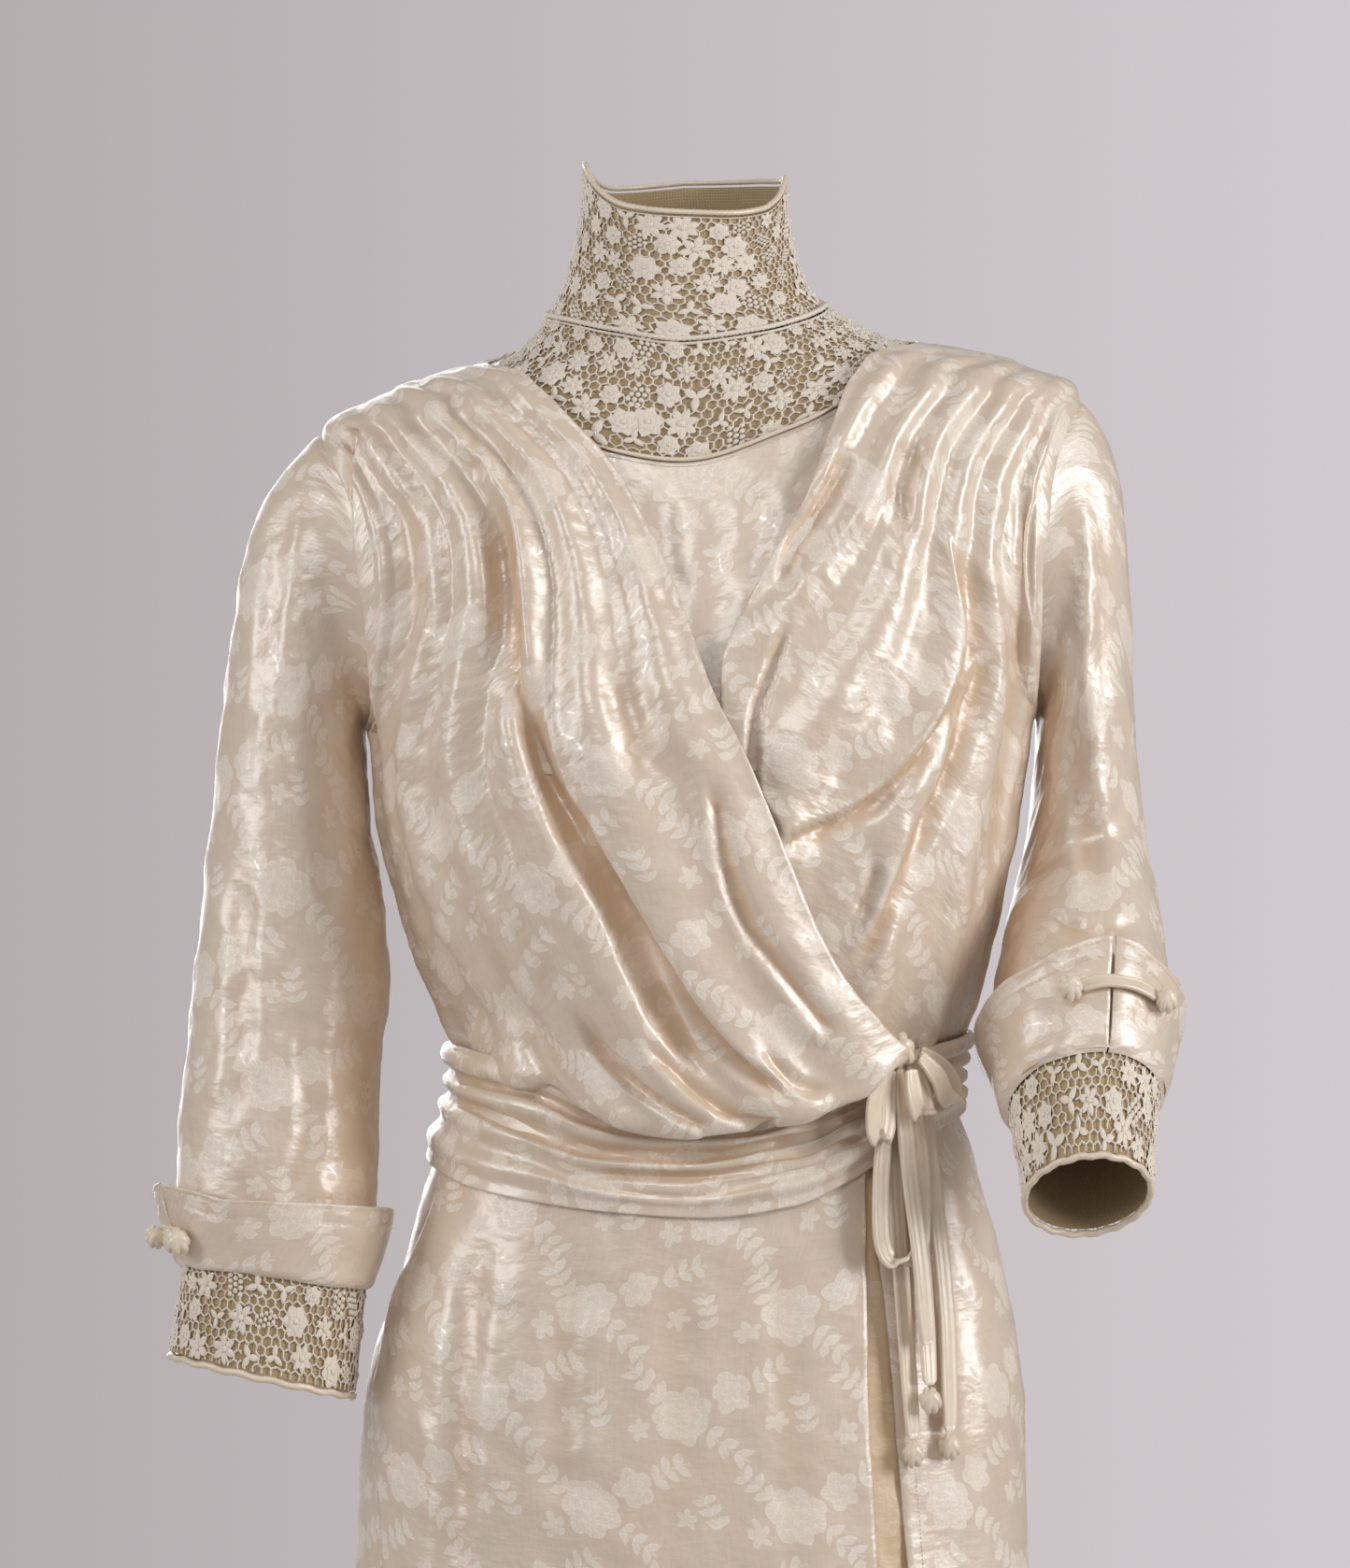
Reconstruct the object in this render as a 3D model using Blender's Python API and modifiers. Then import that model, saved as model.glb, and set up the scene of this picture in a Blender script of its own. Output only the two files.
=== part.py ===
# Tea gown of ivory damask silk, in the hollow form it has when worn.
# Metres, +Z up. The front faces -Y and the wearer's left is +X. The origin is at the shoulders,
# in the middle of the neck's base, where the wearer holds the gown up.
# Tables and working values are in millimetres, and MM turns them to metres.
import math
from types import SimpleNamespace

import bmesh
import bpy
from mathutils import Vector

MM = 0.001

# Walls and the air between layers
SILK_WALL = 1.4
LACE_WALL = 1.2
NET_WALL = 1.0
SEAM = 0.3
# Layers whose flat facets cross lie a little looser than a seam, and skirt panels that lap a little more
LOOSE = 0.9
LAPPED = 1.3
# How far each layer's inner face lies outside the figure
NET_LAYER = 0.0
LACE_LAYER = NET_LAYER + NET_WALL + LOOSE
PLASTRON_LAYER = LACE_LAYER + LACE_WALL - SILK_WALL
BODICE_LAYER = 4.6
UNDERLAP_LAYER = -SILK_WALL - LOOSE
SKIRT_LAYER = 0.0
PANEL_LAYER = SILK_WALL + LAPPED
SASH_LAYER = PANEL_LAYER + SILK_WALL + LAPPED
# The same round each arm, from the sleeve's inner face
ARM_LACE_LAYER = -LACE_WALL - SEAM
ARM_NET_LAYER = ARM_LACE_LAYER - NET_WALL - LOOSE
CUFF_LAYER = SILK_WALL + LOOSE

# The shoulder line rises towards the wearer's left, and the slope fades out down the bodice
SHOULDER_RISE = 0.05
RISE_FADES_FROM = -60
RISE_FADES_TO = -320

# Armhole: an oval on the figure's side
ARMHOLE_MIDDLE = -108
ARMHOLE_HALF_HEIGHT = 85
ARMHOLE_HALF_TURN = 18

# How many times as wide as deep the sections are, for the spacing of the columns
BODICE_FLATNESS = 1.7
SKIRT_FLATNESS = 1.4
COLLAR_FLATNESS = 1.3

# Waist, hem and lace
SKIRT_TOP = -392
HEM = -1360
LACE_HOLE_SHARE = 0.31
FLUTES = 6
FLUTE_DEPTH = 16

IVORY_SILK = dict(colour=(0.82, 0.70, 0.55), roughness=0.38)
PEACH_SILK = dict(colour=(0.78, 0.60, 0.42), roughness=0.42)
COTTON_LACE = dict(colour=(0.80, 0.72, 0.58), roughness=0.85)
BEIGE_NET = dict(colour=(0.36, 0.25, 0.13), roughness=0.9)


# Small helpers

def blend(start, end, share):
    return start + (end - start) * share


def soft(share):
    share = min(max(share, 0.0), 1.0)
    return share * share * (3 - 2 * share)


class Table:
    """Rows with named columns, read smoothly at any value of the first column."""

    def __init__(self, columns, rows):
        self.columns = columns.split()
        self.rows = sorted(rows)
        self.keys = [row[0] for row in self.rows]
        self.slopes = [self._slopes(column) for column in range(len(self.columns))]

    def _slopes(self, column):
        values = [row[column] for row in self.rows]
        chords = [(values[i + 1] - values[i]) / (self.keys[i + 1] - self.keys[i]) for i in range(len(values) - 1)]
        slopes = [chords[0]]
        for before, after in zip(chords, chords[1:]):
            turns_back = before * after <= 0
            slopes.append(0.0 if turns_back else 2 * before * after / (before + after))
        return slopes + [chords[-1]]

    def at(self, key):
        key = min(max(key, self.keys[0]), self.keys[-1])
        i = 0
        while i < len(self.keys) - 2 and key > self.keys[i + 1]:
            i += 1
        width = self.keys[i + 1] - self.keys[i]
        t = (key - self.keys[i]) / width
        found = {}
        for column, name in enumerate(self.columns):
            low, high = self.rows[i][column], self.rows[i + 1][column]
            leave, arrive = self.slopes[column][i] * width, self.slopes[column][i + 1] * width
            found[name] = (low * (1 + 2 * t) * (1 - t) ** 2 + leave * t * (1 - t) ** 2
                           + high * t * t * (3 - 2 * t) + arrive * t * t * (t - 1))
        return SimpleNamespace(**found)


def fold_height(folds, along, across):
    """Height of the soft ridges at a place on a panel, each a row of start, end, width, height, bend."""
    height = 0.0
    for start, end, width, ridge, bend in folds:
        away = (across - blend(start, end, along ** bend)) / width
        if abs(away) < 1:
            height += ridge * (0.5 + 0.5 * math.cos(math.pi * away))
    return height


# The figure that the gown is cut for: level sections from the collar's rim to the hem

FIGURE = Table("level half_width front back middle square", [
    (130, 52, 50, 52, -9, 2.0),
    (90, 54, 51, 53, -9, 2.0),
    (60, 60, 54, 55, -10, 2.0),
    (46, 65, 57, 58, -10, 2.0),
    (34, 72, 60, 61, -9, 2.0),
    (22, 85, 64, 67, -5, 2.1),
    (10, 104, 68, 75, -1, 2.2),
    (0, 136, 72, 81, 0, 2.3),
    (-10, 173, 76, 87, 0, 2.4),
    (-22, 201, 81, 93, 0, 2.5),
    (-40, 203, 87, 100, 0, 2.5),
    (-73, 199, 97, 106, 0, 2.5),
    (-120, 189, 110, 108, 0, 2.4),
    (-165, 179, 120, 105, 0, 2.3),
    (-200, 172, 123, 99, -1, 2.3),
    (-241, 168, 122, 92, -2, 2.2),
    (-297, 157, 115, 83, -1, 2.2),
    (-337, 144, 107, 76, 2, 2.2),
    (-364, 134, 102, 73, 4, 2.2),
    (-385, 134, 101, 75, 3, 2.2),
    (-430, 147, 104, 88, 2, 2.2),
    (-490, 165, 110, 105, 0, 2.2),
    (-555, 180, 117, 118, -3, 2.2),
    (-655, 186, 126, 128, -4, 2.2),
    (-900, 208, 150, 158, -2, 2.1),
    (-1150, 236, 180, 194, 0, 2.1),
    (-1360, 258, 204, 228, 0, 2.0),
])


def rise(level, x):
    return SHOULDER_RISE * x * soft((level - RISE_FADES_TO) / (RISE_FADES_FROM - RISE_FADES_TO))


def figure_skin(turn, level):
    section = FIGURE.at(level)
    angle = math.radians(turn)
    depth = section.front if math.cos(angle) > 0 else section.back
    reach = ((abs(math.sin(angle)) / section.half_width) ** section.square
             + (abs(math.cos(angle)) / depth) ** section.square) ** (-1 / section.square)
    x = section.middle + reach * math.sin(angle)
    return Vector((x, -reach * math.cos(angle), level + rise(level, x)))


def figure(turn, level, out=0.0):
    """Point that lies out from the figure: turn is 0 in front, 90 at the wearer's left, 180 behind."""
    here = figure_skin(turn, level)
    if not out:
        return here
    along = figure_skin(turn + 0.5, level) - figure_skin(turn - 0.5, level)
    down = figure_skin(turn, level - 1) - figure_skin(turn, level + 1)
    return here + down.cross(along).normalized() * out


def level_at(x, z):
    """Level of the section that a place at height z lies on, with the shoulders' rise taken away."""
    return z - rise(z, x)


def spread(turn, flatness):
    """Turn as it is counted on a round section, for a section that is flatness times as wide as deep."""
    quarter = 180 * round(turn / 180)
    angle = math.radians(turn - quarter)
    return quarter + math.degrees(math.atan2(math.sin(angle), flatness * math.cos(angle)))


def blend_turn(start, end, share, flatness):
    """Turn between two others, spaced evenly along a wide flat section."""
    even = blend(spread(start, flatness), spread(end, flatness), share)
    return spread(even, 1 / flatness)


def turn_at(x, level, out=0.0):
    """Turn of the place in front of the figure with the given x."""
    low, high = -90.0, 90.0
    for _ in range(24):
        turn = (low + high) / 2
        if figure(turn, level, out).x < x:
            low = turn
        else:
            high = turn
    return turn


def armhole_turn(level):
    """Half the turn that the armhole takes at a level."""
    share = (level - ARMHOLE_MIDDLE) / ARMHOLE_HALF_HEIGHT
    return ARMHOLE_HALF_TURN * math.sqrt(max(0.0, 1 - share * share))


# Making solids

GOWN = bpy.data.collections.new("tea_gown")


def clear_scene():
    for item in list(bpy.data.objects):
        bpy.data.objects.remove(item, do_unlink=True)
    bpy.context.scene.collection.children.link(GOWN)


def dress(item, look):
    """Gives an object its own material and its place under the gown's empty."""
    material = bpy.data.materials.new(item.name)
    material.use_nodes = True
    shader = material.node_tree.nodes["Principled BSDF"]
    shader.inputs["Base Color"].default_value = (*look["colour"], 1.0)
    shader.inputs["Roughness"].default_value = look["roughness"]
    shader.inputs["Metallic"].default_value = 0.0
    item.data.materials.append(material)
    GOWN.objects.link(item)
    item.parent = bpy.data.objects["shoulders"]
    return item


def cloth(name, point, across, along, wall, look, closed=False, flip=False, is_hole=None):
    """A cloth wall: point(u, v) on its inner face for each u across and each v along, made solid outwards."""
    mesh = bpy.data.meshes.new(name)
    work = bmesh.new()
    grid = [[work.verts.new(point(u, v) * MM) for u in across] for v in along]
    columns = len(across) if closed else len(across) - 1
    for j in range(len(along) - 1):
        for i in range(columns):
            if is_hole and is_hole(i, j):
                continue
            k = (i + 1) % len(across)
            corners = [grid[j][i], grid[j + 1][i], grid[j + 1][k], grid[j][k]]
            work.faces.new(corners[::-1] if flip else corners)
    for corner in [v for v in work.verts if not v.link_faces]:
        work.verts.remove(corner)
    work.to_mesh(mesh)
    work.free()
    mesh.shade_smooth()
    item = bpy.data.objects.new(name, mesh)
    thicken = item.modifiers.new("wall", "SOLIDIFY")
    thicken.thickness = wall * MM
    thicken.offset = 1
    return dress(item, look)


def steps(count, start=0.0, end=1.0):
    return [blend(start, end, i / count) for i in range(count + 1)]


def net_lines(holes):
    """Grid lines all round at every other line of two halves of lace, so that the net stays inside it."""
    half = [(hole + 0.5 - LACE_HOLE_SHARE / 2) / holes for hole in range(holes)]
    return [line / 2 for line in half] + [0.5 + line / 2 for line in half]


def lace_lines(holes):
    """Grid lines with a narrow cell, the hole, between wide ones, and a bar at both ends."""
    lines = [0.0]
    for hole in range(holes):
        lines += [(hole + 0.5 - LACE_HOLE_SHARE / 2) / holes, (hole + 0.5 + LACE_HOLE_SHARE / 2) / holes]
    return lines + [1.0]


def lace(name, point, across, along, flip=False):
    """Crochet lace with its largest gaps cut through, across by along of them."""
    return cloth(name, point, lace_lines(across), lace_lines(along), LACE_WALL, COTTON_LACE,
                 flip=flip, is_hole=lambda i, j: i % 2 == 1 and j % 2 == 1)


def cord(name, points, radius, look, closed=False, rounds=0):
    """A round binding or piping along a list of points."""
    curve = bpy.data.curves.new(name, "CURVE")
    curve.dimensions = "3D"
    curve.bevel_depth = radius * MM
    curve.bevel_resolution = rounds
    curve.use_fill_caps = not closed
    spline = curve.splines.new("POLY")
    spline.points.add(len(points) - 1)
    for place, point in zip(spline.points, points):
        place.co = (*(point * MM), 1.0)
    spline.use_cyclic_u = closed
    return dress(bpy.data.objects.new(name, curve), look)


def through(points, count):
    """A smooth line through a short list of places."""
    places = Table("share x y z", [(i / (len(points) - 1), *place) for i, place in enumerate(points)])
    found = [places.at(share) for share in steps(count)]
    return [Vector((place.x, place.y, place.z)) for place in found]


def band(name, path, width, thick, look, side=Vector((1, 0, 0))):
    """A flat satin tie along a path, its width turned as far towards side as the path allows."""
    mesh = bpy.data.meshes.new(name)
    work = bmesh.new()
    corners = [(-0.5, 0.0), (-0.36, -0.5), (0.36, -0.5), (0.5, 0.0), (0.36, 0.5), (-0.36, 0.5)]
    rings = []
    for i, place in enumerate(path):
        ahead = (path[min(i + 1, len(path) - 1)] - path[max(i - 1, 0)]).normalized()
        wide = (side - ahead * side.dot(ahead)).normalized()
        deep = ahead.cross(wide)
        rings.append([work.verts.new((place + wide * (a * width) + deep * (b * thick)) * MM) for a, b in corners])
    for ring, following in zip(rings, rings[1:]):
        for i in range(len(corners)):
            k = (i + 1) % len(corners)
            work.faces.new([ring[i], ring[k], following[k], following[i]])
    work.faces.new(rings[0][::-1])
    work.faces.new(rings[-1])
    work.to_mesh(mesh)
    work.free()
    mesh.shade_smooth()
    return dress(bpy.data.objects.new(name, mesh), look)


def satin_knot(name, middle, radii, look):
    """A knot of satin, rounded and a little squashed."""
    mesh = bpy.data.meshes.new(name)
    work = bmesh.new()
    bmesh.ops.create_uvsphere(work, u_segments=10, v_segments=6, radius=MM)
    bmesh.ops.scale(work, vec=radii, verts=work.verts)
    work.to_mesh(mesh)
    work.free()
    mesh.shade_smooth()
    item = bpy.data.objects.new(name, mesh)
    item.location = middle * MM
    return dress(item, look)


# Collar and yoke

COLLAR = Table("turn base rim yoke_end", [
    (-180, 42, 104, -19),
    (-135, 40, 102, -11),
    (-100, 36, 111, 7),
    (-90, 34, 114, 9),
    (-80, 33, 112, 7),
    (-62, 30, 100, -12),
    (-36, 23, 88, -38),
    (-5, 16, 83, -49),
    (30, 19, 81, -34),
    (50, 23, 83, -17),
    (66, 27, 89, -4),
    (80, 30, 97, 4),
    (90, 31, 101, 6),
    (100, 34, 100, 4),
    (135, 40, 102, -11),
    (180, 42, 104, -19),
])
RIM_BINDING = 1.5
COLLAR_SEAM = 1.0
HOLES_ROUND = 8
COLLAR_HOLE_ROWS = 3
YOKE_HOLE_ROWS = {"front": 3, "back": 2}
COLLAR_HALVES = {"front": (-90, 90), "back": (90, 270), "whole": (-90, 270)}


def collar_row(turn):
    return COLLAR.at((turn + 180) % 360 - 180)


def half_shift(half):
    """Moves the front and back halves apart at the side seams."""
    return Vector((0, {"front": -SEAM / 2, "back": SEAM / 2, "whole": 0}[half], 0))


def collar_point(half, layer):
    start, end = COLLAR_HALVES[half]

    def point(u, v):
        turn = blend_turn(start, end, u, COLLAR_FLATNESS)
        row = collar_row(turn)
        return figure(turn, blend(row.rim, row.base, v), layer) + half_shift(half)
    return point


def yoke_point(half, layer):
    start, end = COLLAR_HALVES[half]

    def point(u, v):
        turn = blend_turn(start, end, u, COLLAR_FLATNESS)
        row = collar_row(turn)
        return figure(turn, blend(row.base - COLLAR_SEAM, row.yoke_end, v), layer) + half_shift(half)
    return point


def build_collar_and_yoke():
    cloth("collar_net", collar_point("whole", NET_LAYER), net_lines(HOLES_ROUND), [0, 0.4, 0.7, 0.88, 1], NET_WALL,
          BEIGE_NET, closed=True)
    cloth("yoke_net", yoke_point("whole", NET_LAYER), net_lines(HOLES_ROUND), steps(5), NET_WALL,
          BEIGE_NET, closed=True)
    for half, rows in YOKE_HOLE_ROWS.items():
        lace(f"collar_lace_{half}", collar_point(half, LACE_LAYER), HOLES_ROUND, COLLAR_HOLE_ROWS)
        lace(f"yoke_lace_{half}", yoke_point(half, LACE_LAYER), HOLES_ROUND, rows)
    middle = (NET_LAYER + LACE_LAYER + LACE_WALL) / 2
    rim = [figure(turn, collar_row(turn).rim, middle) for turn in steps(32, -180, 180)[:-1]]
    lifted = [place + Vector((0, 0, RIM_BINDING + LOOSE + SEAM)) for place in rim]
    cord("collar_rim", lifted, RIM_BINDING, IVORY_SILK, closed=True)


# Plastron, and the piping on its neckline

PLASTRON_SIDES = (-40, 42)
PLASTRON_END = -212
PIPING = 1.2
PIPING_SPAN = (-31, 41)


def build_plastron():
    def point(u, v):
        turn = blend_turn(*PLASTRON_SIDES, u, BODICE_FLATNESS)
        top = collar_row(turn).yoke_end - COLLAR_SEAM
        return figure(turn, blend(top, PLASTRON_END, v), PLASTRON_LAYER)
    cloth("plastron", point, steps(8), steps(6), SILK_WALL, IVORY_SILK)
    out = PLASTRON_LAYER + SILK_WALL + LOOSE + PIPING
    line = [figure(turn, collar_row(turn).yoke_end, out) for turn in steps(14, *PIPING_SPAN)]
    cord("neckline_piping", line, PIPING, IVORY_SILK, rounds=1)


# Bodice fronts and backs. A row for each section from the shoulder to the waist: the level at the
# side, and the place of the inner edge in the front view.

RIGHT_FRONT = Table("down side_level edge_x edge_z sag side_lift edge_lift", [
    (0.00, -23, -105, 8, 0, 0.0, 0.0),
    (0.07, -38, -92, -8, 0, 1.0, 0.0),
    (0.15, -62, -72, -26, 0, 4.0, 0.5),
    (0.25, -95, -46, -54, 0, 7.0, 1.0),
    (0.35, -130, -26, -90, 0, 6.0, 2.0),
    (0.45, -166, -8, -134, 0, 5.0, 3.0),
    (0.55, -202, 6, -172, 0, 3.0, 7.0),
    (0.65, -241, 23, -205, 0, 1.5, 10.0),
    (0.75, -281, 41, -252, 0, 0.5, 11.0),
    (0.85, -318, 61, -303, 10, 0.0, 12.0),
    (0.93, -345, 80, -335, 26, 0.0, 13.0),
    (1.00, -363, 94, -352, 42, 0.0, 13.0),
])
LEFT_FRONT = Table("down side_level edge_x edge_z sag side_lift edge_lift", [
    (0.00, -23, 97, 14, 0, 0.0, 0.0),
    (0.07, -38, 88, 2, 0, 1.0, 0.0),
    (0.15, -62, 76, -14, 0, 4.0, 0.5),
    (0.25, -95, 67, -38, 0, 7.0, 1.0),
    (0.35, -130, 56, -67, 0, 7.0, 1.0),
    (0.45, -164, 40, -95, 0, 6.0, 1.0),
    (0.55, -198, 23, -127, 0, 4.0, 1.0),
    (0.65, -233, 11, -156, 0, 2.0, 1.0),
    (0.75, -268, 10, -190, 0, 1.0, 1.0),
    (0.85, -304, 24, -226, 0, 0.0, 0.5),
    (0.93, -335, 34, -290, 0, 0.0, 0.0),
    (1.00, -358, 44, -354, 0, 0.0, 0.0),
])
BACK = Table("down side_level edge_turn edge_level", [
    (0.00, -23, 90, 11),
    (0.06, -38, 112, 5),
    (0.13, -62, 140, -7),
    (0.22, -95, 180, -14),
    (0.45, -166, 180, -110),
    (0.70, -250, 180, -230),
    (1.00, -358, 180, -364),
])
# Soft ridges that sweep from the gathered shoulder to the bow: where each starts on the shoulder
# and ends at the waist, as a share from the side to the inner edge.
RIGHT_FOLDS = [
    # start, end, width, height, bend
    (0.15, 0.13, 0.05, 3.0, 1.0),
    (0.32, 0.42, 0.09, 5.0, 1.5),
    (0.47, 0.60, 0.08, 7.0, 1.6),
    (0.62, 0.72, 0.07, 8.0, 1.6),
    (0.76, 0.84, 0.07, 7.0, 1.5),
    (0.92, 0.95, 0.06, 5.0, 1.2),
]
LEFT_FOLDS = [
    (0.15, 0.13, 0.05, 3.0, 1.0),
    (0.30, 0.55, 0.08, 4.0, 1.8),
    (0.44, 0.80, 0.08, 5.0, 1.8),
    (0.58, 1.05, 0.08, 6.0, 1.8),
    (0.72, 1.35, 0.07, 5.0, 1.8),
    (0.88, 1.70, 0.07, 4.0, 1.8),
]
BACK_FOLDS = [
    (0.25, 0.60, 0.08, 4.0, 1.3),
    (0.42, 0.74, 0.07, 4.0, 1.2),
    (0.60, 0.88, 0.06, 3.0, 1.1),
]
SHOULDER_SHARE = 0.07
# The inner edges stand off where they lie over the yoke
YOKE_LIFT = 3.0
YOKE_LIFT_ENDS = 0.45
BLOUSE = 14
BLOUSE_STARTS = 0.62
BLOUSE_CLEAR_OF_SIDE = 0.05
BLOUSE_GROWS = 0.13
SAG_FROM, SAG_WIDTH, SAG_END = 0.10, 0.22, 0.10


def side_turn(level):
    return 90 - armhole_turn(level)


def yoke_lift(down, across):
    return YOKE_LIFT * soft((across - 0.35) / 0.4) * soft((YOKE_LIFT_ENDS - down) / 0.2)


def front_point(table, folds, hand, blouse):
    """Point on a surplice front: hand is -1 for the wearer's right and 1 for the left."""
    def point(u, v):
        across = u if hand < 0 else 1 - u
        row = table.at(v)
        edge_level = level_at(row.edge_x, row.edge_z)
        edge_turn = turn_at(row.edge_x, edge_level)
        edge_turn = blend(hand * 90, edge_turn, soft(v / SHOULDER_SHARE))
        turn = blend_turn(hand * side_turn(row.side_level), edge_turn, across, BODICE_FLATNESS)
        level = blend(row.side_level, edge_level, across)
        level -= row.sag * soft((across - SAG_FROM) / SAG_WIDTH) * soft((1 - across) / SAG_END)
        out = BODICE_LAYER + row.side_lift * soft(1 - across / 0.3) + row.edge_lift * soft((across - 0.35) / 0.6)
        out += fold_height(folds, v, across) * soft(v / 0.12) + yoke_lift(v, across)
        if blouse:
            out += (BLOUSE * soft((v - BLOUSE_STARTS) / (1 - BLOUSE_STARTS))
                    * soft((across - BLOUSE_CLEAR_OF_SIDE) / BLOUSE_GROWS))
        return figure(turn, level, out) + half_shift("front")
    return point


def back_point(hand):
    """Point on a back half, from the side seam to the middle of the back."""
    def point(u, v):
        across = 1 - u if hand < 0 else u
        row = BACK.at(v)
        turn = blend_turn(180 - side_turn(row.side_level), row.edge_turn, across, BODICE_FLATNESS)
        level = blend(row.side_level, row.edge_level, across)
        out = (BODICE_LAYER + yoke_lift(v, across)
               + fold_height(BACK_FOLDS, v, across) * soft(v / 0.15) * soft((1 - v) / 0.1))
        middle_seam = Vector((hand * SEAM * soft((across - 0.9) / 0.1), 0, 0))
        return figure(hand * turn, level, out) + half_shift("back") + middle_seam
    return point


def panel_rows(count):
    """Rows from the shoulder to the waist, closer together over the shoulder."""
    return [share ** 1.25 for share in steps(count)]


def build_bodice():
    cloth("front_right", front_point(RIGHT_FRONT, RIGHT_FOLDS, -1, True), steps(22), panel_rows(16),
          SILK_WALL, IVORY_SILK)
    cloth("front_left", front_point(LEFT_FRONT, LEFT_FOLDS, 1, False), steps(20), panel_rows(15),
          SILK_WALL, IVORY_SILK)
    cloth("back_right", back_point(-1), steps(7), panel_rows(12), SILK_WALL, IVORY_SILK)
    cloth("back_left", back_point(1), steps(7), panel_rows(12), SILK_WALL, IVORY_SILK)


# Sleeves and cuffs. Below the armhole each ring has an outer and an inner point in the front view,
# its middle's depth, half its depth, and how far the arm is bent forwards there.

SLEEVE_COLUMNS = "down outer_x outer_z inner_x inner_z middle_y half_depth pitch"
RIGHT_ARM = Table(SLEEVE_COLUMNS, [
    (0.00, -215, -40, -184, -196, 0, 47, 0),
    (0.06, -237, -66, -184, -207, 0, 50, 0),
    (0.13, -249, -102, -183, -222, -1, 52, 0),
    (0.21, -256, -142, -182, -240, -2, 53, 0),
    (0.31, -262, -195, -180, -260, -4, 54, 2),
    (0.44, -269, -262, -174, -292, -8, 55, 4),
    (0.56, -276, -325, -171, -334, -14, 55, 6),
    (0.66, -281, -375, -176, -374, -20, 54, 8),
    (0.76, -285, -420, -177, -417, -26, 54, 8),
    (0.86, -286, -460, -177, -468, -32, 53, 8),
    (0.93, -284, -488, -182, -502, -37, 50, 8),
    (1.00, -290, -531, -187, -554, -43, 48, 8),
])
LEFT_ARM = Table(SLEEVE_COLUMNS, [
    (0.00, 213, -22, 184, -188, 0, 47, 0),
    (0.06, 226, -46, 185, -198, 1, 50, 0),
    (0.13, 232, -90, 184, -214, 3, 52, 0),
    (0.21, 235, -135, 183, -230, 6, 53, 2),
    (0.31, 238, -190, 181, -250, 9, 54, 6),
    (0.44, 243, -252, 174, -283, 8, 53, 20),
    (0.54, 248, -285, 169, -300, -9, 53, 34),
    (0.64, 252, -317, 160, -327, -33, 53, 42),
    (0.76, 251, -346, 157, -354, -62, 52, 43),
    (0.86, 248, -372, 160, -379, -86, 49, 43),
    (0.93, 243, -396, 164, -402, -108, 43, 43),
    (1.00, 238, -430, 168, -434, -138, 37, 43),
])
CUFF_SPAN = {"right": (0.835, 0.925), "left": (0.76, 0.905)}
# The sleeve ends inside the cuff's fold, and the undercuff starts there
SLEEVE_SHORT_OF_FOLD = 0.003
UNDERCUFF_SEAM = 0.001
CUFF_FLARE = 7.0
SLIT_FLARE = 5.0
CUFF_SLIT = {"right": 28, "left": 76}
CUFF_SLIT_HALF = 1.2
BINDING = 1.8
CUFF_HOLES = 6
ARMHOLE_RINGS = [
    # half turn, half height, out
    (23, 74, 0.3),
    (18.5, 79, 0.8),
    (15.4, 82.2, 3.2),
]


def arm_ring(table, down, around, out):
    """Point on a free ring of the arm: around is 0 outside, 90 in front and 180 inside."""
    row = table.at(down)
    middle = Vector(((row.outer_x + row.inner_x) / 2, row.middle_y, (row.outer_z + row.inner_z) / 2))
    wide = Vector((row.outer_x - row.inner_x, 0, row.outer_z - row.inner_z)) / 2
    pitch = math.radians(row.pitch)
    fore = Vector((0, -math.cos(pitch), math.sin(pitch))) * row.half_depth
    angle = math.radians(around)
    return (middle + wide * (1 + out / wide.length) * math.cos(angle)
            + fore * (1 + out / row.half_depth) * math.sin(angle))


def armhole_ring(hand, index, around):
    """Point on one of the rings that pass out through the armhole."""
    half_turn, half_height, out = ARMHOLE_RINGS[index]
    angle = math.radians(around)
    turn = hand * (90 - half_turn * math.sin(angle))
    return figure(turn, ARMHOLE_MIDDLE + half_height * math.cos(angle), out)


def sleeve_point(table, hand):
    """Point on a sleeve: v counts the rings, first those in the armhole, then the free ones."""
    def point(u, v):
        around = 360 * u
        if v < len(ARMHOLE_RINGS):
            return armhole_ring(hand, int(v), around)
        return arm_ring(table, v - len(ARMHOLE_RINGS), around, 0)
    return point


def sleeve_end(side):
    return CUFF_SPAN[side][1] - SLEEVE_SHORT_OF_FOLD


def sleeve_rings(side, count):
    head = list(range(len(ARMHOLE_RINGS)))
    return head + [len(ARMHOLE_RINGS) + sleeve_end(side) * share ** 1.15 for share in steps(count)]


def cuff_point(side, table):
    """Point on the turned-back cuff, from its flared top edge to its fold, open at the slit."""
    start, end = CUFF_SPAN[side]
    slit = CUFF_SLIT[side]

    def point(u, v):
        around = slit + CUFF_SLIT_HALF + (360 - 2 * CUFF_SLIT_HALF) * u
        near_slit = max(soft(1 - u / 0.12), soft((u - 0.88) / 0.12))
        out = CUFF_LAYER + (CUFF_FLARE + SLIT_FLARE * near_slit) * (1 - v) ** 1.3
        return arm_ring(table, blend(start - 0.018 * near_slit, end, v), around, out)
    return point


def undercuff_point(side, table, half, layer):
    start = {"front": 0, "back": 180, "whole": 0}[half]
    span = 360 if half == "whole" else 180
    top = sleeve_end(side) + UNDERCUFF_SEAM

    def point(u, v):
        return arm_ring(table, blend(top, 1.0, v), start + span * u, layer) + half_shift(half)
    return point


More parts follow.
